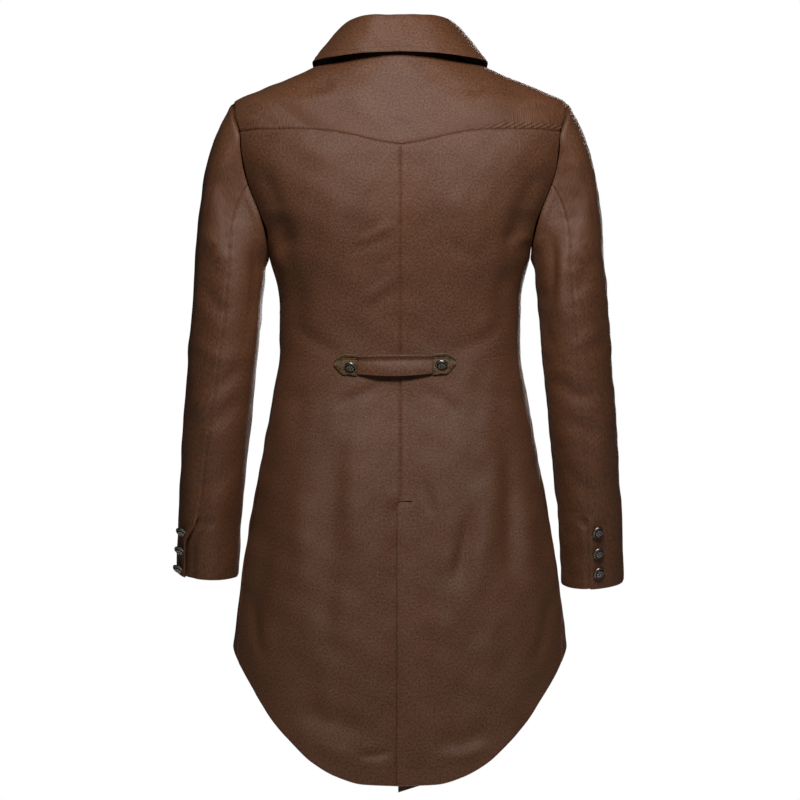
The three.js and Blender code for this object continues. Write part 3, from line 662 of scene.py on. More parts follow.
@dataclass(frozen=True)
class StitchRow:
    """A row of machine topstitching.

    Attributes:
        pitch: from one stitch to the next.
        length: of each stitch.
        radius: of the thread.
        sink: how deep the thread's middle lies under the cloth's face.
    """

    pitch: float = 3.4
    length: float = 2.9
    radius: float = 0.42
    sink: float = -0.1

    RING = 6
    # Along the stitch, its thickness, and its rise, as shares of its length and radius.
    BODY = (
        (-0.5, 0.0, -0.55),
        (-0.42, 0.75, -0.25),
        (-0.2, 1.0, 0.05),
        (0.2, 1.0, 0.05),
        (0.42, 0.75, -0.25),
        (0.5, 0.0, -0.55),
    )

    def build(self, lines: Sequence[tuple[Array, Array]]) -> tuple[Array, Array]:
        """Makes every stitch along some lines.

        Args:
            lines: for each line its points and the way out at each.
        Returns:
            The points and the quads of all stitches.
        """
        points, faces = [], []
        turns = np.linspace(0, 2 * math.pi, self.RING, endpoint=False)
        profile = np.array(self.BODY)
        rings = len(profile)
        index = np.arange(rings * self.RING).reshape(rings, self.RING)
        wrapped = np.concatenate([index, index[:, :1]], axis=1)
        quads = quads_of(wrapped)
        for line, outward in lines:
            length = arc_lengths(line)
            for start in np.arange(self.pitch / 2, length[-1] - self.pitch / 2, self.pitch):
                read = lambda at, values: np.array([np.interp(at, length, values[:, i]) for i in range(3)])
                middle = read(start, line)
                ahead = unit(read(start + 0.6, line) - read(start - 0.6, line))
                out = unit(read(start, outward))
                beside = unit(np.cross(ahead, out))
                raised = profile[:, 2:] * self.radius - self.sink
                spine = middle + ahead * (profile[:, :1] * self.length) + out * raised
                round_ = beside * np.cos(turns)[:, None] + out * np.sin(turns)[:, None]
                tube = spine[:, None] + round_[None] * (profile[:, 1] * self.radius + 0.02)[:, None, None]
                faces.append(quads + len(points) * rings * self.RING)
                points.append(tube.reshape(-1, 3))
        return np.concatenate(points), np.concatenate(faces)


def sew(name: str, row: StitchRow, lines: Sequence[tuple[Array, Array]]) -> bpy.types.Object:
    """Makes one object of all the stitches along some lines."""
    points, faces = row.build(lines)
    return make_mesh(name, points, faces)


# ---------------------------------------------------------------- backs and yoke


@dataclass
class Backs:
    """The pointed yoke, the two backs and the lapped vent between them.

    Attributes:
        pattern: the cut edges.
        columns: across each back.
        rows: down each back.
        vent_lap: how far the right back passes centre back in the vent.
        vent_dip: how far the left back sinks under it.
        underlay_share: the underlay's share of the back's width.
        underlay_drop: how far it hangs below the hem.
    """

    pattern: Pattern
    columns: int = 110
    rows: int = 210
    vent_lap: float = 2.2
    vent_dip: float = 3.1
    underlay_share: float = 0.215
    underlay_drop: float = 8.0
    pieces: dict[str, bpy.types.Object] = field(default_factory=dict)
    stitches: list[tuple[Array, Array]] = field(default_factory=list)

    YOKE_FOLDS = (
        Crease(((131, -38), (108, -41), (83, -37)), 8, -1.7),
        Crease(((125, -27), (99, -26), (78, -24)), 8, 1.2),
        Crease(((-126, -30), (-107, -44), (-85, -54)), 6, -1.9),
        Crease(((-130, -43), (-156, -52), (-184, -57)), 9, -1.2, 0.5),
        Crease(((-60, -70), (-110, -78), (-165, -76)), 14, 0.9),
        Crease(((52, -66), (110, -80), (170, -79)), 16, -0.8),
        Crease(((-30, -30), (-42, -70), (-40, -100)), 16, 0.6),
        Crease(((34, -28), (48, -64), (42, -98)), 18, 0.6),
    )
    BACK_FOLDS = (
        Crease(((2, -219), (34, -238), (68, -254)), 8, 1.1, -0.8),
        Crease(((6, -230), (38, -250), (76, -262)), 8, -1.3),
        Crease(((8, -268), (19, -273), (34, -283)), 6, -0.9, 0.4),
        Crease(((0, -288), (30, -311), (60, -333)), 9, 1.3, -0.6),
        Crease(((4, -306), (28, -326), (50, -345)), 8, -1.0),
        Crease(((166, -205), (160, -235), (148, -268)), 17, -4.2),
        Crease(((-168, -200), (-158, -232), (-142, -264)), 17, -4.4),
        Crease(((-178, -238), (-162, -246), (-146, -262)), 7, 2.2),
        Crease(((178, -232), (165, -262), (150, -296)), 8, 1.6),
        Crease(((188, -150), (172, -186), (160, -222)), 12, -1.8, 0.6),
        Crease(((-190, -150), (-174, -186), (-160, -222)), 12, -1.8, -0.6),
        Crease(((150, -262), (142, -322), (144, -380)), 15, -1.8, 0.6),
        Crease(((-150, -262), (-140, -322), (-142, -386)), 15, -1.9, -0.6),
        Crease(((96, -170), (84, -230), (90, -300)), 24, 1.1),
        Crease(((-84, -150), (-78, -230), (-88, -320)), 26, 1.3),
        Crease(((-48, -236), (-78, -262), (-120, -280)), 11, -0.9, 0.4),
        Crease(((19, -436), (54, -448), (94, -466)), 8, -1.5, 0.8),
        Crease(((-14, -438), (-52, -452), (-96, -482)), 10, -1.2, -0.5),
        Crease(((70, -392), (108, -380), (146, -352)), 11, -1.1, 0.5),
        Crease(((-62, -392), (-104, -376), (-148, -350)), 11, -1.3, -0.5),
        Crease(((92, -430), (124, -452), (158, -470)), 11, -1.2),
        Crease(((-84, -432), (-120, -450), (-160, -462)), 11, -1.2),
        Crease(((96, -470), (88, -560), (96, -690), (104, -800)), 20, -2.6),
        Crease(((126, -520), (128, -640), (140, -790)), 22, 2.0),
        Crease(((60, -470), (54, -600), (60, -760)), 22, 1.8),
        Crease(((-96, -592), (-84, -650), (-67, -711)), 12, -3.0, 0.8),
        Crease(((-110, -540), (-112, -640), (-96, -760)), 20, 2.1),
        Crease(((-139, -460), (-146, -580), (-144, -723)), 14, -3.2),
        Crease(((-168, -560), (-176, -680), (-184, -790)), 16, 1.8),
        Crease(((-34, -560), (-37, -587), (-46, -616)), 8, -1.2),
        Crease(((-44, -700), (-60, -780), (-62, -870)), 20, 1.7),
        Crease(((170, -560), (182, -680), (196, -800)), 16, -1.7),
        Crease(((150, -862), (84, -884), (14, -900)), 17, -2.0, 0.6),
        Crease(((60, -921), (34, -922), (8, -915)), 7, -1.4, -0.8),
        Crease(((120, -905), (84, -920), (50, -930)), 12, 1.2),
        Crease(((-40, -904), (-84, -905), (-130, -886)), 13, -1.7),
        Crease(((-44, -926), (-86, -925), (-120, -908)), 9, 1.3),
        Crease(((206, -700), (196, -760), (178, -818)), 10, -1.3, 0.8),
        Crease(((-206, -700), (-196, -760), (-178, -818)), 10, -1.3, -0.8),
    )

    def back_places(self, u: Array, v: Array) -> Array:
        """The left back's places, from centre back (u 0) to the side seam, top (v 0) to hem."""
        pattern = self.pattern
        fine = np.asarray(v)
        side = pattern.side_edge(pattern.YOKE_END, pattern.ARMHOLE_FOOT, fine)
        centre_heights = mix(pattern.yoke_seam.read("height", 0.0), pattern.hem.read("height", 0.0), fine)
        centre = np.stack([np.zeros(fine.shape), centre_heights], axis=-1)
        top_angles = mix(0.0, pattern.armhole[pattern.YOKE_END, 0], u)
        top = np.stack([top_angles, pattern.yoke_seam.read("height", top_angles)], axis=-1)
        foot = pattern.side_edge(pattern.YOKE_END, pattern.ARMHOLE_FOOT, np.array([1.0]))[0]
        bottom_angles = mix(0.0, foot[0], u)
        bottom = np.stack([bottom_angles, pattern.hem.read("height", bottom_angles)], axis=-1)
        return patch(top, bottom, centre, side, u, fine)

    def relief(self, points: Array, seed: int) -> Array:
        """The backs' folds and unevenness at some points."""
        across, height = points[..., 0], points[..., 2]
        lumps = wavering(across, height, seed, 0.34, 24, 90)
        pull = wavering(across, height * 0.35, seed + 1, 0.45, 34, 80) * ramp(-height, 430, 620)
        return folded(self.BACK_FOLDS, across, height) + lumps + pull

    def centre_seam(self, points: Array) -> Array:
        """The pressed-open allowances along centre back, above the vent."""
        across, height = np.abs(points[..., 0]), points[..., 2]
        sewn = 1 - ramp(-height, -self.pattern.VENT_TOP - 4, -self.pattern.VENT_TOP + 6)
        allowance = 0.3 * ramp(-across, -9.5, -6.0)
        pucker = 0.16 * np.sin(height / 2.1) * np.exp(-((across / 5) ** 2))
        return (allowance + pucker) * sewn

    def back(self, side: Side) -> ClothPiece:
        """One back. Below the vent's top the right one laps over the left one."""
        u, v = crowded(self.columns), crowded(self.rows, 0.5)
        places = self.back_places(u, v)
        angle, height = places[..., 0] * side.value, places[..., 1]
        in_vent = ramp(-height, -self.pattern.VENT_TOP, -self.pattern.VENT_TOP + 12)
        near = 1 - ramp(u, 0, 0.16)[None, :]
        if side is Side.RIGHT:
            degrees_lap = self.vent_lap / 2.1
            angle = angle + degrees_lap * in_vent * near
        points = self.pattern.form.point(angle, height)
        normals = self.pattern.form.normal(angle, height)
        relief = self.relief(points, 11) + self.centre_seam(points)
        if side is Side.LEFT:
            relief = relief - self.vent_dip * in_vent * (1 - ramp(points[..., 0], 3, 30))
        else:
            relief = relief + 2.0 * in_vent * (1 - ramp(-points[..., 0], 0, 24))
        sewn = 1 - in_vent
        return ClothPiece(
            f"back_{side.word}",
            points,
            normals,
            seams={Edge.TOP: 1.0, Edge.RIGHT: 1.0, Edge.LEFT: sewn},
            folds={Edge.BOTTOM: 1.0, Edge.LEFT: in_vent},
            relief=relief,
        )

    def underlay(self) -> ClothPiece:
        """The left back's extension under the right back in the vent."""
        u, v = crowded(44), crowded(120)
        start = 0.56
        places = self.back_places(u * self.underlay_share, mix(start, 1.0, v))
        angle, height = -places[..., 0] + 0.6, places[..., 1] - self.underlay_drop * ramp(v, 0, 1)[:, None]
        points = self.pattern.form.point(angle, height)
        relief = self.relief(points, 11) - 3.3 + 0.8 * ramp(-points[..., 0], 0, 50)
        return ClothPiece(
            "vent_underlay",
            points,
            self.pattern.form.normal(angle, height),
            folds={Edge.BOTTOM: 1.0, Edge.RIGHT: 1.0},
            relief=relief,
        )

    def yoke(self) -> ClothPiece:
        """The yoke over both shoulder blades, pointed at centre back."""
        pattern = self.pattern
        shoulder = 0.27
        u = np.linspace(0, 1, 220)
        v = crowded(60)
        seam = pattern.shoulder_seam(np.clip(u / shoulder, 0, 1))
        neck_angle = mix(97.0, -97.0, np.clip((u - shoulder) / (1 - 2 * shoulder), 0, 1))
        neck = np.stack([neck_angle, pattern.neck_edge.read("height", np.abs(neck_angle))], axis=-1)
        other = pattern.shoulder_seam(np.clip((1 - u) / shoulder, 0, 1)) * (-1, 1)
        top = np.where((u < shoulder)[:, None], seam, np.where((u > 1 - shoulder)[:, None], other, neck))
        foot_angle = mix(pattern.armhole[pattern.YOKE_END, 0], -pattern.armhole[pattern.YOKE_END, 0], u)
        foot = np.stack([foot_angle, pattern.yoke_seam.read("height", np.abs(foot_angle))], axis=-1)
        edge = pattern.armhole_run(0, pattern.YOKE_END, v)
        places = patch(top, foot, edge, edge * (-1, 1), u, v)
        points = pattern.form.point(places[..., 0], places[..., 1])
        across, height = points[..., 0], points[..., 2]
        lumps = wavering(across, height, 5, 0.3, 26, 80)
        above = height - pattern.yoke_seam.read("height", np.abs(places[..., 0]))
        twist = np.sin((across + 2 * height) * 2 * math.pi / 10.5)
        rope = 0.75 * twist * np.exp(-(((above - 4.5) / 3.2) ** 2)) * ramp(-across, 78, 92)
        return ClothPiece(
            "back_yoke",
            points,
            pattern.form.normal(places[..., 0], places[..., 1]),
            seams={Edge.TOP: 1.0, Edge.BOTTOM: 1.0, Edge.LEFT: 1.0, Edge.RIGHT: 1.0},
            relief=folded(self.YOKE_FOLDS, across, height) + lumps + rope,
        )

    def build(self) -> None:
        """Makes the pieces and finds the lines that are topstitched."""
        cut = {"back_yoke": self.yoke(), "vent_underlay": self.underlay()}
        for side in Side:
            cut[f"back_{side.word}"] = self.back(side)
        for name, cloth in cut.items():
            self.pieces[name] = cloth.build()
            cloth.declare(self.pieces[name], "hung")
        yoke, right = cut["back_yoke"], cut["back_right"]
        self.stitches.append(yoke.trace(yoke.distances()[Edge.BOTTOM], 5.5))
        line, outward = right.trace(-right.points[..., 0], 28.0, down_columns=False)
        facing = (line[:, 2] < -797) & (line[:, 2] > -942)
        self.stitches.append((line[facing], outward[facing]))
        self.pieces["bar_tack"] = self.bar_tack()
        self.pieces["back_stitching"] = sew("back_stitching", StitchRow(), self.stitches)

    def bar_tack(self) -> bpy.types.Object:
        """The close satin stitches that hold the top of the vent."""
        across = np.linspace(2, -16, 40)
        form, height = self.pattern.form, -590.0
        places = [(form.angle_across(x, height), height) for x in across]
        line = np.array([form.point(*place) for place in places])
        out = np.array([form.normal(*place) for place in places])
        low = line + out * 0.9
        return sew("bar_tack", StitchRow(1.1, 1.4, 0.75, -0.2), [(low, out)])

    def dress(self, finishes: "Wardrobe") -> None:
        """Gives the pieces their finishes, hides the nodes that they stand for and logs their slots."""
        for name, piece in self.pieces.items():
            if name in ("bar_tack", "back_stitching"):
                settle(piece, finishes.thread, "sateen")
            else:
                settle(piece, finishes.sateen, "sateen_under" if name == "vent_underlay" else "sateen", name)


# ---------------------------------------------------------------- fronts and lapels


@dataclass
class Fronts:
    """The two fronts, which close left over right and cut away below, and their lapels.

    Attributes:
        pattern: the cut edges.
        columns: across each front.
        rows: down each front.
        lap: how far each front leaves the form where the two lap.
    """

    pattern: Pattern
    columns: int = 90
    rows: int = 160
    lap: float = 1.5
    pieces: dict[str, bpy.types.Object] = field(default_factory=dict)

    LAPEL = Table(
        "down width drop",
        (0, 66, 24),
        (0.1, 77, 27),
        (0.25, 75, 23),
        (0.5, 58, 15),
        (0.8, 30, 6),
        (1, 6, 1),
    )
    LAPEL_TOP = 0.2
    LAPEL_FOOT = {Side.LEFT: 0.96, Side.RIGHT: 0.74}
    FOLDS = (
        Crease(((150, -96), (120, -150), (96, -200)), 16, -1.6, 0.5),
        Crease(((164, -200), (132, -232), (84, -262)), 12, -1.9, 0.8),
        Crease(((150, -262), (110, -284), (50, -296)), 12, 1.3, -0.5),
        Crease(((142, -330), (96, -350), (30, -356)), 10, -1.2, 0.6),
        Crease(((146, -390), (90, -398), (34, -410)), 12, -1.5),
        Crease(((150, -440), (104, -440), (40, -426)), 11, 1.0, 0.5),
        Crease(((130, -470), (134, -570), (148, -700)), 20, -2.2),
        Crease(((92, -450), (92, -560), (104, -690)), 20, 1.7),
        Crease(((52, -440), (58, -520), (84, -640)), 16, -1.6),
        Crease(((176, -520), (186, -620), (198, -740)), 16, 1.6),
        Crease(((172, -240), (158, -290), (150, -350)), 14, -2.0),
    )

    def lift(self, side: Side, angle: Array) -> Array:
        """Near centre front the left front moves out and the right front moves in."""
        from_middle = np.abs(np.abs(angle) - 180)
        return side.value * self.lap * (1 - ramp(from_middle, 12, 34))

    def front(self, side: Side) -> ClothPiece:
        """One front, from the shoulder and side seams to the roll line and the closing edge."""
        pattern = self.pattern
        u, v = crowded(self.columns), crowded(self.rows, 0.5)
        seam = pattern.side_edge(pattern.ARMHOLE_TURN, pattern.ARMHOLE_FOOT, v)
        share = 8 / 20
        closing = np.clip((v - share) / (1 - share), 0, 1)
        closing_height = mix(pattern.BREAK_HEIGHT, pattern.CORNER_HEIGHT, closing)
        start = pattern.roll_line(np.array([1.0]))[0, 0]
        closing_angle = mix(start, pattern.cutaway.read("angle", closing_height), np.minimum(1, 4 * closing))
        closing_edge = np.stack([closing_angle, closing_height], axis=-1)
        roll = pattern.roll_line(np.clip(v / share, 0, 1))
        opening = np.where((v < share)[:, None], roll, closing_edge)
        top = pattern.shoulder_seam(u)
        foot_angle = mix(seam[-1, 0], opening[-1, 0], u)
        foot = np.stack([foot_angle, pattern.hem.read("height", foot_angle)], axis=-1)
        places = patch(top, foot, seam, opening, u, v)
        angle, height = places[..., 0] * side.value, places[..., 1]
        points = pattern.form.point(angle, height)
        across = points[..., 0] * side.value
        mirrored_seed = 21 if side is Side.LEFT else 27
        lumps = wavering(across, points[..., 2], mirrored_seed, 0.36, 26, 90)
        calm = ramp(np.abs(points[..., 0]), 22, 60)
        relief = folded(self.FOLDS, across, points[..., 2]) * calm + lumps * calm + self.lift(side, angle)
        return ClothPiece(
            f"front_{side.word}",
            points,
            pattern.form.normal(angle, height),
            seams={Edge.TOP: 1.0, Edge.LEFT: 1.0},
            folds={Edge.RIGHT: 1.0, Edge.BOTTOM: 1.0},
            relief=relief,
        )

    def lapel(self, side: Side) -> ClothPiece:
        """One lapel, which turns back along the roll line and lies on its front."""
        pattern = self.pattern
        u, v = crowded(50), crowded(100, 0.6)
        roll = pattern.roll_line(mix(self.LAPEL_TOP, self.LAPEL_FOOT[side], v))
        start = pattern.form.point(roll[:, 0], roll[:, 1])[:, 0]
        width, drop = self.LAPEL.read("width", v), self.LAPEL.read("drop", v)
        height = roll[:, 1:] - drop[:, None] * u
        angle = pattern.form.angle_across(start[:, None] + width[:, None] * u + 1, height, on_front=True)
        points = pattern.form.point(angle, height) * (side.value, 1, 1)
        normals = pattern.form.normal(angle, height) * (side.value, 1, 1)
        curl = 1.6 * (1 - ramp(u, 0, 0.22))[None, :] * (1 - 0.6 * v[:, None])
        lumps = wavering(points[..., 0], points[..., 2], 33, 0.15, 30, 80)
        relief = self.lift(side, angle) + 2.6 + curl + lumps
        edges = {Edge.LEFT: 1.0, Edge.RIGHT: 1.0, Edge.TOP: 1.0, Edge.BOTTOM: 1.0}
        return ClothPiece(f"lapel_{side.word}", points, normals, folds=edges, relief=relief)

    def build(self) -> None:
        """Makes the fronts, the lapels and their topstitching."""
        stitches = []
        for side in Side:
            front, lapel = self.front(side), self.lapel(side)
            for cloth in (front, lapel):
                self.pieces[cloth.name] = cloth.build()
                cloth.declare(self.pieces[cloth.name], "hung")
            stitches.append(lapel.trace(lapel.distances()[Edge.RIGHT], 6.0, down_columns=False))
            line, outward = front.trace(front.distances()[Edge.RIGHT], 6.0, down_columns=False)
            below = line[:, 2] < self.pattern.BREAK_HEIGHT
            stitches.append((line[below], outward[below]))
            stitches.append(front.trace(front.distances()[Edge.TOP], 5.5))
        self.pieces["front_stitching"] = sew("front_stitching", StitchRow(), stitches)

    def dress(self, finishes: "Wardrobe") -> None:
        """Gives the pieces their finishes, hides the nodes that they stand for and logs their slots."""
        for name, piece in self.pieces.items():
            if name == "front_stitching":
                settle(piece, finishes.thread, "sateen")
            else:
                settle(piece, finishes.sateen, "sateen", name)


# ---------------------------------------------------------------- collar


@dataclass
class Collar:
    """The stand round the neck and the fall that rolls over it.

    Attributes:
        pattern: the cut edges.
        end: the angle of each end of the collar.
        columns: round the collar.
        stand_below_fold: how far the stand stops under the fold.
    """

    pattern: Pattern
    end: float = 157.0
    columns: int = 200
    stand_below_fold: float = 3.2
    pieces: dict[str, bpy.types.Object] = field(default_factory=dict)

    SHAPE = Table(
        "angle fold_x fold_y fold_z edge_x edge_y edge_z",
        (0, 0, 56, 54.5, 0, 78, 4),
        (28, 32, 51, 54.5, 42, 75, 2.5),
        (58, 60, 30, 51, 86, 58, -2),
        (88, 72, -2, 44, 115, 14, -7),
        (112, 73, -26, 28, 117, -16, -9),
        (135, 71, -47, 6, 114, -45, -22),
        (158, 61, -71, -31, 104, -75, -52),
    )
    # The fall's section from inside the fold: how far out and how far down from it,
    # and, past the roll, the share of the way to the outer edge with its belly.
    ROLL = ((-3.2, -7.0), (-2.9, -3.0), (-1.4, -1.3), (0.6, -1.7))
    FALL = ((0.12, 1.6), (0.3, 2.4), (0.5, 2.6), (0.7, 2.1), (0.87, 1.1), (1.0, 0.4))

    def line(self, column: str, angles: Array) -> Array:
        """The fold's or the outer edge's points."""
        size = np.abs(angles)
        read = lambda axis: self.SHAPE.read(f"{column}_{axis}", size)
        return np.stack([read("x") * np.sign(angles), read("y"), read("z")], axis=-1)

    def seam(self, angles: Array) -> Array:
        """The seam's points on the neck edge, and then down the roll line."""
        pattern = self.pattern
        size = np.abs(angles)
        fine = np.linspace(0, 0.5, 300)
        roll = pattern.roll_line(fine)
        beyond = size > pattern.SHOULDER_SEAM
        part = np.interp(size, roll[:, 0], fine)
        down = np.interp(part, fine, roll[:, 1])
        height = np.where(beyond, down, pattern.neck_edge.read("height", np.minimum(size, 97)) + 1.2)
        return pattern.form.point(angles, height)

    def stand(self) -> ClothPiece:
        """The stand, inside the neck."""
        angles = np.linspace(self.end, -self.end, self.columns)
        fold, seam = self.line("fold", angles), self.seam(angles)
        outward = unit(fold * (1, 1, 0))
        top = fold - outward * 0.5 - np.array([0, 0, self.stand_below_fold])
        v = crowded(24)[:, None, None]
        points = mix(top[None], seam[None], v)
        normals = grid_normals(points, points * (0.2, 0.2, 1))
        lumps = wavering(angles[None] * 1.2 + 0 * points[..., 2], points[..., 2], 41, 0.15, 20, 60)
        return ClothPiece("collar_stand", points, normals, folds={Edge.TOP: 1.0}, relief=lumps)

    def fall(self) -> ClothPiece:
        """The fall, which turns over the stand and comes down outside it."""
        angles = np.linspace(self.end, -self.end, self.columns)
        fold, edge = self.line("fold", angles), self.line("edge", angles)
        outward = unit(fold * (1, 1, 0))
        up = np.array([0, 0, 1.0])
        rows = [fold + outward * out + up * down for out, down in self.ROLL]
        crown = fold + outward * 1.5 - up * 1.7
        rows += [mix(crown, edge, part) + outward * belly for part, belly in self.FALL]
        section = np.array(rows)
        fine = smooth_through(section.reshape(len(rows), -1), 70).reshape(70, self.columns, 3)
        normals = self.away_from_neck(fine)
        lumps = wavering(fine[..., 0] * 1.3, fine[..., 2], 45, 0.22, 22, 70)
        sides = {Edge.BOTTOM: 1.0, Edge.LEFT: 1.0, Edge.RIGHT: 1.0}
        return ClothPiece("collar_fall", fine, normals, folds=sides, relief=lumps)

    def away_from_neck(self, points: Array) -> Array:
        """The way out of the fall, over its fold and down its outside."""
        normals = unit(np.cross(np.gradient(points, axis=0), np.gradient(points, axis=1)))
        last = normals[-20]
        outward = unit(points[-20] * (1, 1, 0))
        return normals if np.sum(last * outward) > 0 else -normals

    def build(self) -> None:
        """Makes the stand, the fall and its topstitching."""
        stand, fall = self.stand(), self.fall()
        for cloth in (stand, fall):
            self.pieces[cloth.name] = cloth.build()
            cloth.declare(self.pieces[cloth.name], "folded" if cloth is fall else "hung")
        gaps = fall.distances()
        lower = fall.trace(gaps[Edge.BOTTOM], 6.5)
        ends = [fall.trace(gaps[edge], 6.5, down_columns=False) for edge in (Edge.LEFT, Edge.RIGHT)]
        self.pieces["collar_stitching"] = sew("collar_stitching", StitchRow(), [lower, *ends])

    def dress(self, finishes: "Wardrobe") -> None:
        """Gives the pieces their finishes, hides the nodes that they stand for and logs their slots."""
        slots = {"collar_stand": "sateen_under", "collar_fall": "sateen"}
        for name, slot in slots.items():
            settle(self.pieces[name], finishes.sateen, slot, name)
        settle(self.pieces["collar_stitching"], finishes.thread, "sateen")


# ---------------------------------------------------------------- sleeves


@dataclass
class Sleeve:
    """A two-piece sleeve with a vent and three buttons at its cuff.

    Attributes:
        pattern: the cut edges, for the armhole.
        side: the arm it is on.
        drop: how much lower this arm hangs than the left one.
        seam_top: where the back seam lies round the arm at the top, in degrees.
        seam_cuff: where it lies at the cuff.
        button_heights: of the cuff's buttons.
        button_from_seam: how far the buttons lie outside the seam.
        flare: how far the vent's edge springs out.
        gape: how wide the vent stands open, in millimetres.
        button_droop: how the buttons hang over from the way that the cuff faces.
        folds: the creases of its back, by place across and height.
    """

    pattern: Pattern
    side: Side
    drop: float
    seam_top: float
    seam_cuff: float
    button_heights: tuple[float, ...]
    button_from_seam: float
    flare: float
    gape: float
    button_droop: tuple[float, float, float]
    folds: tuple[Crease, ...]
    pieces: dict[str, bpy.types.Object] = field(default_factory=dict)

    RINGS = Table(
        "height across forward half_width half_depth",
        (-300, 227.5, -10, 47.5, 64),
        (-345, 231.2, -8, 47, 61),
        (-400, 235.6, -9, 46.3, 58),
        (-460, 241, -14, 45.4, 55.5),
        (-530, 247, -25, 44.2, 53),
        (-610, 253, -40, 42.6, 50.5),
        (-688, 257, -55, 42, 50),
    )
    TOP = -300.0
    HEM = -688.0
    FRONT_SEAM = 236.0
    CUFF_RADIUS = 46.0
    VENT_TOP = -612.0
    VENT_LAP = 9.0
    FOLD_MIDDLE = 238  # the front's folds are the back's, turned about here
    FRONT_FOLD_DROP = 26  # and moved down by this
    CAP_ROWS = 52
    ARM_ROWS = 120

    def ring_point(self, height: Array, turn: Array) -> Array:
        """A point of the arm's oval ring, square to the arm: 0 is outward and 90 is back."""
        read = lambda column, at: self.RINGS.read(column, at)
        step = 5.0
        rise = 2 * step + 0 * height
        sideways = read("across", height + step) - read("across", height - step)
        ahead = read("forward", height + step) - read("forward", height - step)
        axis = unit(np.stack([sideways, ahead, rise], axis=-1))
        outward = unit(np.array([1.0, 0, 0]) - axis * axis[..., :1])
        backward = np.cross(axis, outward)
        centre = np.stack([read("across", height), read("forward", height), height], axis=-1)
        wide = (read("half_width", height) * np.cos(np.radians(turn)))[..., None]
        deep = (read("half_depth", height) * np.sin(np.radians(turn)))[..., None]
        return centre + outward * wide + backward * deep

    def seam_turn(self, down: Array) -> Array:
        """Where the back seam lies, from the top of the arm (0) to the cuff (1)."""
        return mix(self.seam_top, self.seam_cuff, np.asarray(down) ** 1.3)

    def grid(self, places: Array, first: Callable[[Array], Array], last: Callable[[Array], Array]) -> Array:
        """A piece's points, from its stretch of the armhole down to the cuff.

        Args:
            places: the armhole's places for each column.
            first: the turn of the piece's first column, by how far down the arm.
            last: the turn of its last column.
        Returns:
            The grid for a left arm.
        """
        form = self.pattern.form
        edge = form.point(places[:, 0], places[:, 1])
        along = unit(np.gradient(edge, axis=0))
        off = unit(np.cross(along, form.normal(places[:, 0], places[:, 1])))
        share = np.linspace(0, 1, len(places))
        down = crowded(self.ARM_ROWS, 0.4)[:, None]
        height = mix(self.TOP, self.HEM - self.drop, down) + 0 * share
        arm = self.ring_point(height, mix(first(down), last(down), share))
        reach = np.linalg.norm(arm[0] - edge, axis=-1, keepdims=True)
        tilt = 0.0022 * (edge[:, 1] + 10)
        leave = unit(np.stack([np.full(len(edge), 0.56), tilt, np.full(len(edge), -0.8)], axis=-1)) * reach
        arrive = np.array([0.09, 0, -1.0]) * reach
        t = np.linspace(0, 1, self.CAP_ROWS)[:-1, None, None]
        cap = hermite((edge + off * 0.3)[None], leave[None], arm[:1], arrive[None], t)
        return np.concatenate([cap, arm])

    def relief(self, points: Array) -> Array:
        """The sleeve's folds and unevenness: its back's as placed, its front's alike but turned."""
        across, height = points[..., 0], points[..., 2]
        forward = self.RINGS.read("forward", np.minimum(height, self.TOP))
        behind = ramp(points[..., 1] - forward, -14, 14)
        back = folded(self.folds, across, height)
        turn = lambda path: tuple((2 * self.FOLD_MIDDLE - x, z - self.FRONT_FOLD_DROP) for x, z in path)
        turned = [Crease(turn(fold.path), fold.width, fold.rise, fold.step) for fold in self.folds]
        front = folded(turned, across, height)
        girth = np.degrees(np.arctan2(points[..., 1] - forward, across - 240)) * 0.8
        lumps = wavering(girth, height, 50 + self.side.value, 0.42, 26, 95)
        return (back * behind + front * (1 - behind) + lumps) * ramp(-height, 40, 100)

    def cut(self) -> list[ClothPiece]:
        """The upper and the under sleeve."""
        pattern = self.pattern
        upper_places = pattern.armhole_run(
            pattern.FRONT_SLEEVE_SEAM, pattern.ARMHOLE_TURN + pattern.BACK_SLEEVE_SEAM, crowded(110, 0.5)
        )
        under_places = pattern.armhole_run(
            pattern.BACK_SLEEVE_SEAM, pattern.FRONT_SLEEVE_SEAM, crowded(70, 0.5)
        )
        length = self.HEM - self.drop - self.TOP
        vent_start = (self.VENT_TOP - self.TOP) / length
        turn_of = lambda size: math.degrees(size / self.CUFF_RADIUS)
        lap = lambda down: turn_of(self.VENT_LAP) * ramp(down, vent_start, vent_start + 0.03)
        spread = lambda down: ramp(down, vent_start, vent_start + 0.075) * (1 - 0.35 * ramp(down, 0.88, 1.0))
        open_by = lambda down: turn_of(self.gape) * spread(down)
        front_seam = lambda down: self.FRONT_SEAM + 0 * down
        upper_back = lambda down: self.seam_turn(down) - open_by(down)
        under_back = lambda down: self.seam_turn(down) - lap(down) - open_by(down)
        upper = self.grid(upper_places, lambda down: front_seam(down) - 360, upper_back)
        under = self.grid(under_places, under_back, front_seam)
        pieces = []
        for name, points in (("upper", upper), ("under", under)):
            height = points[..., 2]
            open_ = ramp(-height, -self.VENT_TOP, -self.VENT_TOP + 8)
            back_edge = Edge.RIGHT if name == "upper" else Edge.LEFT
            front_edge = Edge.LEFT if name == "upper" else Edge.RIGHT
            middle = np.stack(
                [self.RINGS.read("across", height) - 14, self.RINGS.read("forward", height), height], axis=-1
            )
            cloth = ClothPiece(
                f"{name}_sleeve_{self.side.word}",
                points,
                grid_normals(points, middle),
                seams={Edge.TOP: 1.0, front_edge: 1.0, back_edge: 1 - open_},
                folds={Edge.BOTTOM: 1.0, back_edge: open_},
            )
            gaps = cloth.distances()
            head = 1.1 * np.exp(-(((gaps[Edge.TOP] - 8) / 6) ** 2))
            near_vent = np.exp(-((gaps[back_edge] / 13) ** 2))
            pucker = 0.28 * np.sin(height / 3.1) * np.exp(-((gaps[back_edge] / 8) ** 2)) * (1 - open_)
            width = 13 + self.gape
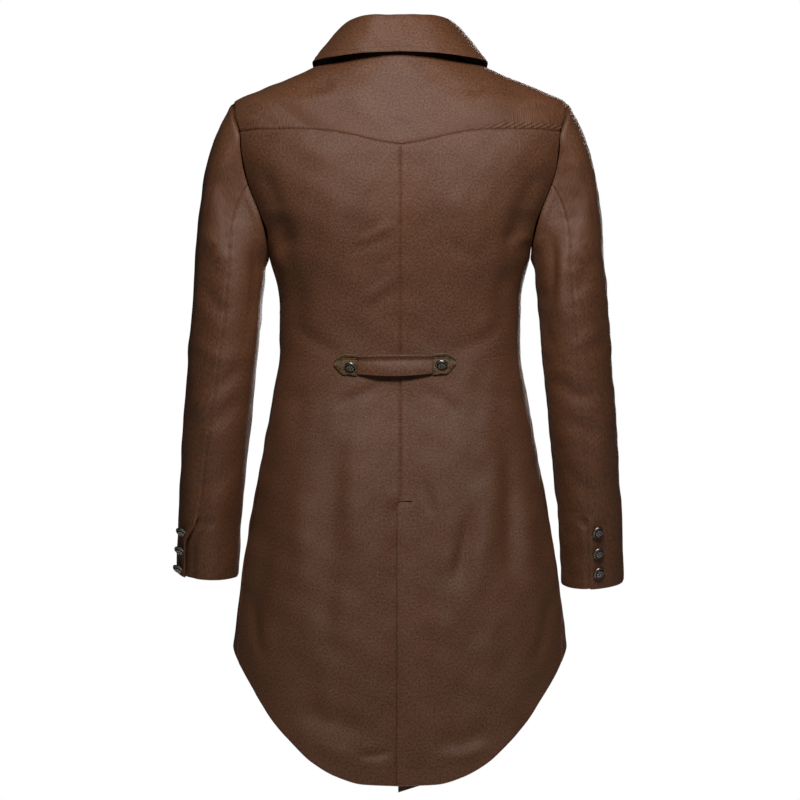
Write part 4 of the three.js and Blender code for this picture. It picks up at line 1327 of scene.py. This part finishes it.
            sunk = -3.0 * (1 - ramp(gaps[back_edge], self.VENT_LAP + self.gape - 3, width + 5))
            lap_lift = self.flare * near_vent * open_ if name == "upper" else sunk * open_
            cloth.relief = self.relief(points) + head + pucker + lap_lift
            if self.side is Side.RIGHT:
                cloth.points = cloth.points * (-1, 1, 1)
                cloth.normals = cloth.normals * (-1, 1, 1)
            pieces.append(cloth)
        return pieces

    def build(self) -> None:
        """Makes the two pieces and the stitching of the vent."""
        upper, under = self.cut()
        for cloth in (upper, under):
            self.pieces[cloth.name] = cloth.build()
            cloth.declare(self.pieces[cloth.name], "hung")
        line, outward = upper.trace(upper.distances()[Edge.RIGHT], 2.4, down_columns=False)
        low = line[:, 2] < self.VENT_TOP
        name = f"cuff_stitching_{self.side.word}"
        self.pieces[name] = sew(name, StitchRow(), [(line[low], outward[low])])

    def button_seat(self, height: float) -> tuple[Array, Array]:
        """Where a cuff button sits, and the way that it faces."""
        down = (height - self.TOP) / (self.HEM - self.drop - self.TOP)
        turn = float(self.seam_turn(down)) - math.degrees(self.button_from_seam / self.CUFF_RADIUS)
        at = lambda h, t: self.ring_point(np.array(h), np.array(t))
        ahead = at(height, turn + 2) - at(height, turn - 2)
        up = at(height + 2, turn) - at(height - 2, turn)
        normal = unit(np.cross(ahead, up))
        flip = np.array([self.side.value, 1, 1])
        return (at(height, turn) + normal * 2.4) * flip, unit(normal + self.button_droop) * flip

    def dress(self, finishes: "Wardrobe") -> None:
        """Gives the pieces their finishes, hides the nodes that they stand for and logs their slots."""
        for name, piece in self.pieces.items():
            stitching = name.startswith("cuff")
            if stitching:
                settle(piece, finishes.thread, "sateen")
            else:
                settle(piece, finishes.sateen, "sateen", name)


# ---------------------------------------------------------------- half belt


@dataclass
class HalfBelt:
    """The strap across the back waist and its two pointed tabs.

    Attributes:
        pattern: the cut edges.
        left_end: where the strap ends on the wearer's left.
        right_end: where it ends on the right.
        tab_length: of each tab.
        height: of the belt's middle.
        half_height: of the strap.
        sag: how far the middle hangs.
        bulge: how far the strap stands off the back.
        clearance: of the whole belt from the back.
    """

    pattern: Pattern
    left_end: float = 56.0
    right_end: float = -43.0
    tab_length: float = 30.0
    height: float = -411.0
    half_height: float = 14.0
    sag: float = 3.0
    bulge: float = 7.0
    clearance: float = 2.6
    pieces: dict[str, bpy.types.Object] = field(default_factory=dict)

    def middle(self, across: Array) -> Array:
        """The height of the belt's middle line."""
        half = (self.left_end - self.right_end) / 2
        out = (across - (self.left_end + self.right_end) / 2) / half
        return self.height - self.sag / 2 * (1 - out * out) - 0.5 * out

    def strip(
        self, name: str, start: float, end: float, half: Array, stand_off: Array, u: Array
    ) -> ClothPiece:
        """A strip across the back that stands off it.

        Args:
            name: the piece's name.
            start: where it starts across the back.
            end: where it ends.
            half: half its height at each column.
            stand_off: how far each column stands off.
            u: the columns' parts of the way across.
        Returns:
            The piece.
        """
        form = self.pattern.form
        v = crowded(26)
        across = mix(start, end, u)
        height = self.middle(across)[None] + half[None] * (1 - 2 * v[:, None])
        angle = form.angle_across(np.broadcast_to(across, height.shape), height)
        rim = 1.3 * np.exp(-(((v - 0.07) / 0.07) ** 2)) - 1.5 * np.exp(-(((v - 0.27) / 0.13) ** 2))
        crown = (rim + 0.9 * np.exp(-(((v - 0.72) / 0.2) ** 2)))[:, None]
        lumps = wavering(across[None] + 0 * height, height, 61, 0.16, 14, 40)
        edges = {Edge.TOP: 1.0, Edge.BOTTOM: 1.0, Edge.LEFT: 1.0, Edge.RIGHT: 1.0}
        relief = stand_off[None] + crown + lumps
        points, normals = form.point(angle, height), form.normal(angle, height)
        return ClothPiece(name, points, normals, folds=edges, relief=relief)

    def build(self) -> None:
        """Makes the strap and the tabs."""
        u = crowded(110)
        rise = self.clearance + self.bulge * np.sin(math.pi * u) ** 0.8
        half = self.half_height - 1.6 + 2.2 * np.sin(math.pi * u)
        cut = [self.strip("belt_strap", self.left_end, self.right_end, half, rise, u)]
        for side in Side:
            u = crowded(60)
            start = self.left_end + 0.4 if side is Side.LEFT else self.right_end - 0.4
            end = start + side.value * self.tab_length
            tip = np.clip((u - 0.6) / 0.4, 0, 1)
            half = self.half_height * (1 - 0.8 * tip**1.3)
            cut.append(self.strip(f"belt_tab_{side.word}", start, end, half, np.full(60, self.clearance), u))
        for cloth in cut:
            self.pieces[cloth.name] = cloth.build()
            cloth.declare(self.pieces[cloth.name], "laid")

    def dress(self, finishes: "Wardrobe") -> None:
        """Gives the pieces their finishes, hides the nodes that they stand for and logs their slots."""
        for name, piece in self.pieces.items():
            tab = name.startswith("belt_tab")
            settle(piece, finishes.brocade if tab else finishes.sateen, "brocade" if tab else "sateen", name)


# ---------------------------------------------------------------- buttons


@dataclass
class Buttons:
    """The cast buttons: a rosette inside a roped rim, on a short shank.

    Attributes:
        radius: of each button.
        rise: of its dome above the rim's foot.
        petals: of the rosette.
        rope_turns: twists of the rim.
    """

    radius: float = 8.5
    rise: float = 4.3
    petals: int = 8
    rope_turns: int = 26
    seats: dict[str, tuple[Array, Array]] = field(default_factory=dict)
    pieces: dict[str, bpy.types.Object] = field(default_factory=dict)

    ROUND = 104
    FOOT = 1.4
    SHANK = 1.4

    def face(self) -> tuple[Array, Array]:
        """The face's rings of points, from the middle outward, and how hollow each is."""
        r = np.linspace(0.0, 1.0, 34)[1:, None]
        turn = np.linspace(0, 2 * math.pi, self.ROUND, endpoint=False)[None, :]
        dome = self.rise * (1 - r**2) ** 0.8
        boss = 1.1 * np.sqrt(np.clip(1 - (r / 0.2) ** 2, 0, 1))
        petal = np.abs(np.cos(turn * self.petals / 2)) ** 0.7 * np.exp(-(((r - 0.47) / 0.2) ** 2)) * 1.15
        vein = 0.35 * np.exp(-(((np.abs(np.cos(turn * self.petals / 2)) - 1) / 0.05) ** 2))
        vein = vein * np.exp(-(((r - 0.47) / 0.13) ** 2))
        groove = -0.45 * np.exp(-(((r - 0.75) / 0.05) ** 2))
        twist = 0.5 + 0.5 * np.sin(self.rope_turns * turn + 24 * r)
        rim = (0.75 + 0.5 * twist) * np.sqrt(np.clip(1 - ((r - 0.89) / 0.11) ** 2, 0, 1))
        carving = boss + petal - vein + groove + rim
        height = self.FOOT + dome * (1 - 0.5 * ramp(r, 0.78, 1.0)) + carving
        # How dark each point is painted: tarnish in the carving, and painted shade in its hollows.
        hollow = 1 - ramp(carving, 0.05, 0.85)
        rings = np.stack([r * np.cos(turn) + 0 * turn, r * np.sin(turn), height / self.radius], axis=-1)
        return rings * self.radius, np.broadcast_to(hollow, height.shape)

    def build(self) -> None:
        """Makes one mesh for each seat."""
        rings, hollow = self.face()
        top = float(rings[0, :, 2].mean())
        base = self.FOOT - 0.9
        back = [(0.985, self.FOOT - 0.5), (0.9, base), (0.3, base), (0.24, 0.0), (0.24, -self.SHANK)]
        turn = np.linspace(0, 2 * math.pi, self.ROUND, endpoint=False)
        circle = np.stack([np.cos(turn), np.sin(turn), 0 * turn], -1)
        under = [circle * (self.radius * r) + np.array([0, 0, z]) for r, z in back]
        points = np.concatenate([rings.reshape(-1, 3), np.array(under).reshape(-1, 3)])
        ring_count = len(rings) + len(under)
        index = np.arange(ring_count * self.ROUND).reshape(ring_count, self.ROUND)
        quads = quads_of(np.concatenate([index, index[:, :1]], axis=1))
        first, last = len(points), len(points) + 1
        points = np.concatenate([points, [[0, 0, top], [0, 0, -self.SHANK]]])
        caps = []
        for ring, middle in ((index[0], first), (index[-1], last)):
            caps.append(np.stack([ring, np.roll(ring, -1), np.full(len(ring), middle), ring], axis=-1))
        # The back, the rim's underside and the shank are painted fully dark: painted shade under the button,
        # with its tarnish.
        shade = np.concatenate([hollow.reshape(-1), np.ones(len(under) * self.ROUND), [0.0, 1.0]])
        for name, (seat, normal) in self.seats.items():
            self.pieces[name] = self.one(name, points, quads, caps, shade, seat, normal)

    def one(
        self,
        name: str,
        points: Array,
        quads: Array,
        caps: Sequence[Array],
        shade: Array,
        seat: Array,
        normal: Array,
    ) -> bpy.types.Object:
        """Places one button.

        Args:
            name: its name.
            points: the button's points about its own axis.
            quads: its quads.
            caps: the fans that close its middle and its shank.
            shade: how dark each point is painted, for the tarnish and for painted shade in the hollows and
                under the button.
            seat: where its foot stands.
            normal: the way that it faces.
        Returns:
            The button.
        """
        beside = unit(np.cross([0.0, 0.0, 1.0], normal))
        upward = np.cross(normal, beside)
        placed = seat + points @ np.stack([beside, upward, normal])
        mesh = bpy.data.meshes.new(name)
        triangles = np.concatenate([caps[0][:, :3], caps[1][:, :3][:, ::-1]])
        mesh.from_pydata((placed * METRES).tolist(), [], quads[:, ::-1].tolist() + triangles.tolist())
        mesh.polygons.foreach_set("use_smooth", np.ones(len(mesh.polygons), bool))
        # This attribute holds real tarnish and painted shade together: dark in the carving's hollows and
        # over the button's back.
        layer = mesh.color_attributes.new("tarnish_and_painted_shade", "FLOAT_COLOR", "POINT")
        layer.data.foreach_set("color", np.repeat(shade[:, None], 4, axis=1).astype(np.float32).ravel())
        mesh.validate()
        mesh.update()
        piece = bpy.data.objects.new(f"{name}_cast", mesh)
        bpy.context.scene.collection.objects.link(piece)
        return piece

    def dress(self, finishes: "Wardrobe") -> None:
        """Gives the buttons their finish, hides the nodes that they stand for and logs their slot."""
        for name, piece in self.pieces.items():
            settle(piece, finishes.silver, "button_metal", name)


# ---------------------------------------------------------------- finishes


def linear(colour: str) -> tuple[float, float, float, float]:
    """Turns an sRGB hex colour to a linear one."""
    parts = [int(colour[i : i + 2], 16) / 255 for i in (1, 3, 5)]
    return (*[c / 12.92 if c <= 0.04045 else ((c + 0.055) / 1.055) ** 2.4 for c in parts], 1.0)


Settings = dict[str | int, object]


def add_node(
    tree: bpy.types.NodeTree, kind: str, settings: Settings, links: Settings | None = None
) -> bpy.types.Node:
    """Adds a node with its settings and links.

    Args:
        tree: the material's or the world's nodes.
        kind: the node's type, without its "ShaderNode".
        settings: values for its inputs, or else for its own properties.
        links: sockets for its inputs.
    Returns:
        The node.
    """
    node = tree.nodes.new(f"ShaderNode{kind}")
    for key, value in settings.items():
        if isinstance(key, int) or key in node.inputs:
            node.inputs[key].default_value = value
        else:
            setattr(node, key, value)
    for key, socket in (links or {}).items():
        tree.links.new(socket, node.inputs[key])
    return node


def blend(
    tree: bpy.types.NodeTree, low: str, high: str, share: bpy.types.NodeSocket
) -> bpy.types.NodeSocket:
    """A colour between two sRGB ones, by a share that varies over the surface."""
    ends = {"data_type": "RGBA", 6: linear(low), 7: linear(high)}
    return add_node(tree, "Mix", ends, {0: share}).outputs[2]


def new_material(name: str) -> tuple[bpy.types.Material, bpy.types.NodeTree]:
    """An empty material with its node tree."""
    material = bpy.data.materials.new(name)
    material.use_nodes = True
    material.node_tree.nodes.clear()
    return material, material.node_tree


WAVE_PERIOD = 0.314  # the scale of a wave texture whose bands come once in each unit


@dataclass(frozen=True)
class WovenSateen:
    """Cotton sateen, woven with floating threads, piece-dyed brown and calendered.

    The floats lie side by side, so it looks smooth and has a broad soft sheen,
    with a little fuzz at grazing angles.

    Attributes:
        name: the material's.
        dye: its colour.
        worn: its colour where rubbed and pale.
        roughness: of its floats.
        sheen: of its fuzz.
        thread_spacing: of its diagonal, drawn at 1.1 mm since the real 0.25 mm doesn't show.
        slub: the size of its uneven threads in millimetres.
        diagonal: how steep its diagonal is, in degrees.
    """

    name: str = "woven_cotton_sateen"
    dye: str = "#492a18"
    worn: str = "#835437"
    roughness: float = 0.56
    sheen: float = 0.05
    thread_spacing: float = 1.1
    slub: float = 2.8
    diagonal: float = 27.0

    def make(self) -> bpy.types.Material:
        """Builds the material."""
        material, tree = new_material(self.name)
        cloth = add_node(tree, "UVMap", {"uv_map": "cloth"})
        place = add_node(tree, "TexCoord", {})
        broad = add_node(
            tree, "TexNoise", {"Scale": 14.0, "Detail": 3.0}, {"Vector": place.outputs["Object"]}
        )
        slubs = add_node(
            tree,
            "TexNoise",
            {"Scale": 1 / (self.slub * METRES), "Detail": 2.5, "Roughness": 0.6},
            {"Vector": cloth.outputs["UV"]},
        )
        turned = add_node(
            tree,
            "Mapping",
            {"Rotation": (0, 0, math.radians(self.diagonal))},
            {"Vector": cloth.outputs["UV"]},
        )
        twill = add_node(
            tree,
            "TexWave",
            {
                "Scale": WAVE_PERIOD / (self.thread_spacing * METRES),
                "Distortion": 1.2,
                "Detail": 1.0,
                "Detail Scale": 2.0,
            },
            {"Vector": turned.outputs["Vector"]},
        )
        tone = add_node(
            tree,
            "Math",
            {"operation": "MULTIPLY_ADD", 1: 2.2, 2: -0.8},
            {0: slubs.outputs["Fac"]},
        )
        third = {"operation": "MULTIPLY_ADD", 1: 0.35}
        share = add_node(tree, "Math", third, {0: broad.outputs["Fac"], 2: tone.outputs[0]})
        colour = blend(tree, self.dye, self.worn, share.outputs[0])
        weave = add_node(tree, "Math", third, {0: twill.outputs["Fac"], 2: slubs.outputs["Fac"]})
        bump = add_node(tree, "Bump", {"Strength": 0.55, "Distance": 0.0006}, {"Height": weave.outputs[0]})
        shader = add_node(
            tree,
            "BsdfPrincipled",
            {
                "Roughness": self.roughness,
                "IOR": 1.5,
                "Sheen Weight": self.sheen,
                "Sheen Roughness": 0.45,
                "Sheen Tint": linear("#c89a70"),
            },
            {"Base Color": colour, "Normal": bump.outputs[0]},
        )
        add_node(tree, "OutputMaterial", {}, {"Surface": shader.outputs[0]})
        return material


@dataclass(frozen=True)
class FiguredBrocade:
    """Cotton and viscose brocade, jacquard woven with a dark leafy figure on a matt ground.

    The figure floats over the ground, so it stands a little proud and shines more.

    Attributes:
        name: the material's.
        ground: the colour of its ground.
        figure: the colour of its figure.
        repeat: of its leaves, in millimetres.
    """

    name: str = "jacquard_brocade"
    ground: str = "#2a180d"
    figure: str = "#7d5c33"
    repeat: float = 7.0

    def make(self) -> bpy.types.Material:
        """Builds the material."""
        material, tree = new_material(self.name)
        cloth = add_node(tree, "UVMap", {"uv_map": "cloth"})
        leaves = add_node(
            tree,
            "TexVoronoi",
            {
                "feature": "SMOOTH_F1",
                "Scale": 1 / (self.repeat * METRES),
                "Smoothness": 0.4,
                "Randomness": 0.55,
            },
            {"Vector": cloth.outputs["UV"]},
        )
        veins = add_node(
            tree,
            "TexWave",
            {"wave_type": "RINGS", "Scale": 0.9 / (self.repeat * METRES), "Distortion": 6.0, "Detail": 2.0},
            {"Vector": cloth.outputs["UV"]},
        )
        figure = add_node(
            tree,
            "Math",
            {"operation": "MULTIPLY"},
            {0: leaves.outputs["Distance"], 1: veins.outputs["Fac"]},
        )
        edge = add_node(
            tree,
            "MapRange",
            {"From Min": 0.12, "From Max": 0.28},
            {"Value": figure.outputs[0]},
        )
        colour = blend(tree, self.ground, self.figure, edge.outputs[0])
        bump = add_node(tree, "Bump", {"Strength": 0.5, "Distance": 0.0005}, {"Height": edge.outputs[0]})
        shader = add_node(
            tree,
            "BsdfPrincipled",
            {"Roughness": 0.66, "IOR": 1.5, "Sheen Weight": 0.1},
            {"Base Color": colour, "Normal": bump.outputs[0]},
        )
        add_node(tree, "OutputMaterial", {}, {"Surface": shader.outputs[0]})
        return material


@dataclass(frozen=True)
class AntiqueSilver:
    """Cast zinc alloy, silver plated, blackened and then polished on its high parts.

    The tarnish stays in the hollows, so the carving reads as dark lines round bright tops. The dark colour
    in the hollows, on the button's back and on its shank is also painted shade.

    Attributes:
        name: the material's.
        polished: the colour of the high parts.
        tarnished_and_shaded: the colour of the hollows and the back, real tarnish and painted shade
            together.
    """

    name: str = "antique_silver_plated_casting"
    polished: str = "#bdb6ac"
    tarnished_and_shaded: str = "#2e2a26"

    def make(self) -> bpy.types.Material:
        """Builds the material."""
        material, tree = new_material(self.name)
        # The dark share read here is tarnish and painted shade together, in the hollows and under the
        # button.
        tarnish_and_painted_shade = add_node(tree, "Attribute", {"attribute_name": "tarnish_and_painted_shade"})
        place = add_node(tree, "TexCoord", {})
        wear = add_node(
            tree, "TexNoise", {"Scale": 900.0, "Detail": 3.0}, {"Vector": place.outputs["Object"]}
        )
        share = add_node(
            tree,
            "Math",
            {"operation": "MULTIPLY_ADD", 1: 0.3},
            {0: wear.outputs["Fac"], 2: tarnish_and_painted_shade.outputs["Fac"]},
        )
        colour = blend(tree, self.polished, self.tarnished_and_shaded, share.outputs[0])
        rough = add_node(tree, "MapRange", {"To Min": 0.24, "To Max": 0.6}, {"Value": share.outputs[0]})
        shader = add_node(
            tree,
            "BsdfPrincipled",
            {"Metallic": 1.0},
            {"Base Color": colour, "Roughness": rough.outputs[0]},
        )
        add_node(tree, "OutputMaterial", {}, {"Surface": shader.outputs[0]})
        return material


@dataclass(frozen=True)
class SpunThread:
    """Spun polyester sewing thread, dyed to the cloth and a little brighter than it.

    Attributes:
        name: the material's.
        dye: its colour.
    """

    name: str = "spun_polyester_thread"
    dye: str = "#7a5039"

    def make(self) -> bpy.types.Material:
        """Builds the material."""
        material, tree = new_material(self.name)
        place = add_node(tree, "TexCoord", {})
        twist = add_node(
            tree, "TexNoise", {"Scale": 1500.0, "Detail": 2.0}, {"Vector": place.outputs["Object"]}
        )
        bump = add_node(
            tree, "Bump", {"Strength": 0.3, "Distance": 0.0002}, {"Height": twist.outputs["Fac"]}
        )
        shader = add_node(
            tree,
            "BsdfPrincipled",
            {"Base Color": linear(self.dye), "Roughness": 0.5, "IOR": 1.53},
            {"Normal": bump.outputs[0]},
        )
        add_node(tree, "OutputMaterial", {}, {"Surface": shader.outputs[0]})
        return material


class Wardrobe:
    """The coat's finishes, each made once."""

    def __init__(self) -> None:
        """Makes the materials."""
        self.sateen = WovenSateen().make()
        self.brocade = FiguredBrocade().make()
        self.silver = AntiqueSilver().make()
        self.thread = SpunThread().make()


# ---------------------------------------------------------------- studio


@dataclass
class Studio:
    """The camera behind the coat, soft lights, a pale floor and a white surround.

    Attributes:
        distance: from the camera to the coat's own axis, in metres.
        field_width: what the camera sees across there, in metres.
        eye_height: of the camera, in metres.
        key_power: of the soft light above and behind the coat, in watts.
        fill: how bright the surround shines on the coat.
        floor_height: in metres.
    """

    distance: float = 12.0
    field_width: float = 1.064
    eye_height: float = -0.4575
    key_power: float = 25.0
    fill: float = 0.02
    floor_height: float = -1.45

    SENSOR = 36.0

    def build(self) -> None:
        """Makes the camera, the lights, the floor and the surround."""
        scene = bpy.context.scene
        scene.view_settings.view_transform = "Standard"
        camera = bpy.data.cameras.new("camera")
        camera.sensor_width = self.SENSOR
        camera.lens = self.SENSOR * self.distance / self.field_width
        viewer = bpy.data.objects.new("camera", camera)
        viewer.location = (0, self.distance, self.eye_height)
        viewer.rotation_euler = (math.pi / 2, 0, math.pi)
        scene.collection.objects.link(viewer)
        scene.camera = viewer
        self.light("key_light", (-0.12, 1.35, 0.85), (0, 0, -0.2), 0.5, self.key_power)
        self.light("front_light", (-0.4, -2.1, 0.05), (0, 0, -0.45), 1.0, self.key_power * 1.3)
        self.surround()
        self.floor()

    def light(
        self, name: str, place: Sequence[float], target: Sequence[float], size: float, power: float
    ) -> None:
        """Adds one square soft light.

        Args:
            name: the light's name.
            place: where it stands, in metres.
            target: what it points at.
            size: of its side, in metres.
            power: in watts.
        """
        lamp = bpy.data.lights.new(name, "AREA")
        lamp.size = size
        lamp.energy = power
        holder = bpy.data.objects.new(name, lamp)
        holder.location = place
        holder.rotation_euler = (Vector(target) - Vector(place)).to_track_quat("-Z", "Y").to_euler()
        bpy.context.scene.collection.objects.link(holder)

    def surround(self) -> None:
        """White to the eye, and a low even fill on the coat."""
        world = bpy.data.worlds.new("surround")
        bpy.context.scene.world = world
        world.use_nodes = True
        tree = world.node_tree
        tree.nodes.clear()
        ray = add_node(tree, "LightPath", {})
        strength = add_node(
            tree, "MapRange", {"To Min": self.fill, "To Max": 1.0}, {"Value": ray.outputs["Is Camera Ray"]}
        )
        shine = add_node(tree, "Background", {"Color": (1, 1, 1, 1)}, {"Strength": strength.outputs[0]})
        add_node(tree, "OutputWorld", {}, {"Surface": shine.outputs[0]})

    def floor(self) -> None:
        """A plain pale floor well below the coat, as the coat hangs on nobody."""
        half = 3200.0
        height = self.floor_height / METRES
        square = ((-1, -1), (1, -1), (1, 1), (-1, 1))
        corners = np.array([(x * half, y * half, height) for x, y in square])
        floor = make_mesh("floor", corners, np.array([[0, 1, 2, 3]]))
        material, tree = new_material("painted_floor")
        shader = add_node(tree, "BsdfPrincipled", {"Base Color": linear("#eeeeec"), "Roughness": 0.7})
        add_node(tree, "OutputMaterial", {}, {"Surface": shader.outputs[0]})
        floor.data.materials.append(material)


# ---------------------------------------------------------------- the coat


# The creases at the back of each sleeve, by distance from the coat's middle and by height.
LEFT_SLEEVE_FOLDS = (
    Crease(((254, -150), (232, -196), (214, -236)), 13, -1.6, 0.7),
    Crease(((266, -226), (244, -262), (226, -292)), 12, 1.5, -0.5),
    Crease(((196, -240), (192, -300), (200, -372)), 8, -2.2, 0.8),
    Crease(((184, -270), (190, -330), (196, -400)), 7, 1.8),
    Crease(((268, -300), (246, -336), (222, -352)), 12, -1.7, 0.8),
    Crease(((276, -372), (250, -392), (222, -402)), 11, 1.4, 0.6),
    Crease(((204, -398), (228, -426), (262, -452)), 12, -1.9, 0.8),
    Crease(((208, -440), (236, -474), (280, -496)), 12, -1.6, 0.7),
    Crease(((280, -430), (262, -470), (240, -540)), 13, 1.3),
    Crease(((214, -520), (240, -560), (284, -580)), 14, -1.3, 0.5),
    Crease(((262, -520), (266, -580), (262, -640)), 10, -1.2),
    Crease(((226, -590), (232, -640), (236, -690)), 12, -1.0),
)
RIGHT_SLEEVE_FOLDS = (
    Crease(((250, -140), (236, -186), (226, -230)), 13, -1.5, -0.6),
    Crease(((200, -226), (204, -282), (198, -350)), 8, -2.3, 0.9),
    Crease(((216, -240), (214, -300), (216, -372)), 9, 1.7),
    Crease(((188, -280), (190, -340), (198, -396)), 7, -1.6),
    Crease(((266, -260), (248, -296), (232, -330)), 12, -1.5, 0.6),
    Crease(((274, -352), (250, -378), (224, -398)), 12, 1.4, -0.6),
    Crease(((206, -420), (230, -446), (270, -452)), 12, -2.0, 0.8),
    Crease(((210, -462), (238, -490), (282, -500)), 12, -1.7, 0.7),
    Crease(((284, -452), (266, -520), (262, -580)), 13, 1.2),
    Crease(((216, -540), (240, -566), (282, -592)), 13, -1.4, 0.6),
    Crease(((232, -600), (236, -650), (232, -700)), 12, -1.0),
    Crease(((272, -590), (276, -640), (276, -690)), 11, -0.9),
)


BELT_BUTTON_DROOP = (0.1, 0.0, -1.1)  # how the belt's buttons hang over


def main() -> None:
    """Builds and dresses the coat, then the studio round it."""
    logging.basicConfig(level=logging.INFO, format="%(name)s: %(message)s")
    form = BodyForm()
    pattern = Pattern(form)
    finishes = Wardrobe()
    left = Sleeve(
        pattern,
        Side.LEFT,
        drop=0.0,
        seam_top=90.0,
        seam_cuff=58.0,
        button_heights=(-628, -653, -678),
        button_from_seam=22.0,
        flare=3.0,
        gape=11.0,
        button_droop=(-0.3, 0.1, -1.0),
        folds=LEFT_SLEEVE_FOLDS,
    )
    right = Sleeve(
        pattern,
        Side.RIGHT,
        drop=12.0,
        seam_top=89.0,
        seam_cuff=96.0,
        button_heights=(-623, -651, -677),
        button_from_seam=12.0,
        flare=1.6,
        gape=0.0,
        button_droop=(0.55, 0.0, -0.6),
        folds=RIGHT_SLEEVE_FOLDS,
    )
    belt = HalfBelt(pattern)
    buttons = Buttons()
    for sleeve in (left, right):
        for number, height in enumerate(sleeve.button_heights):
            buttons.seats[f"button_cuff_{sleeve.side.word}_{number + 1}"] = sleeve.button_seat(height)
    for side, across, height in ((Side.LEFT, 64.0, -413.0), (Side.RIGHT, -54.0, -410.0)):
        angle = form.angle_across(across, height)
        seat = form.point(angle, height) + form.normal(angle, height) * 4.6
        facing = unit(form.normal(angle, height) + BELT_BUTTON_DROOP)
        buttons.seats[f"button_belt_{side.word}"] = (seat, facing)
    for number, height in enumerate((-266.0, -314.0, -362.0, -410.0)):
        seat = form.point(180.0, height) + form.normal(180.0, height) * 3.2
        buttons.seats[f"button_front_{number + 1}"] = (seat, form.normal(180.0, height))
    for assembly in (Backs(pattern), Fronts(pattern), Collar(pattern), left, right, belt, buttons):
        assembly.build()
        assembly.dress(finishes)
    Studio().build()


if __name__ == "__main__":
    main()
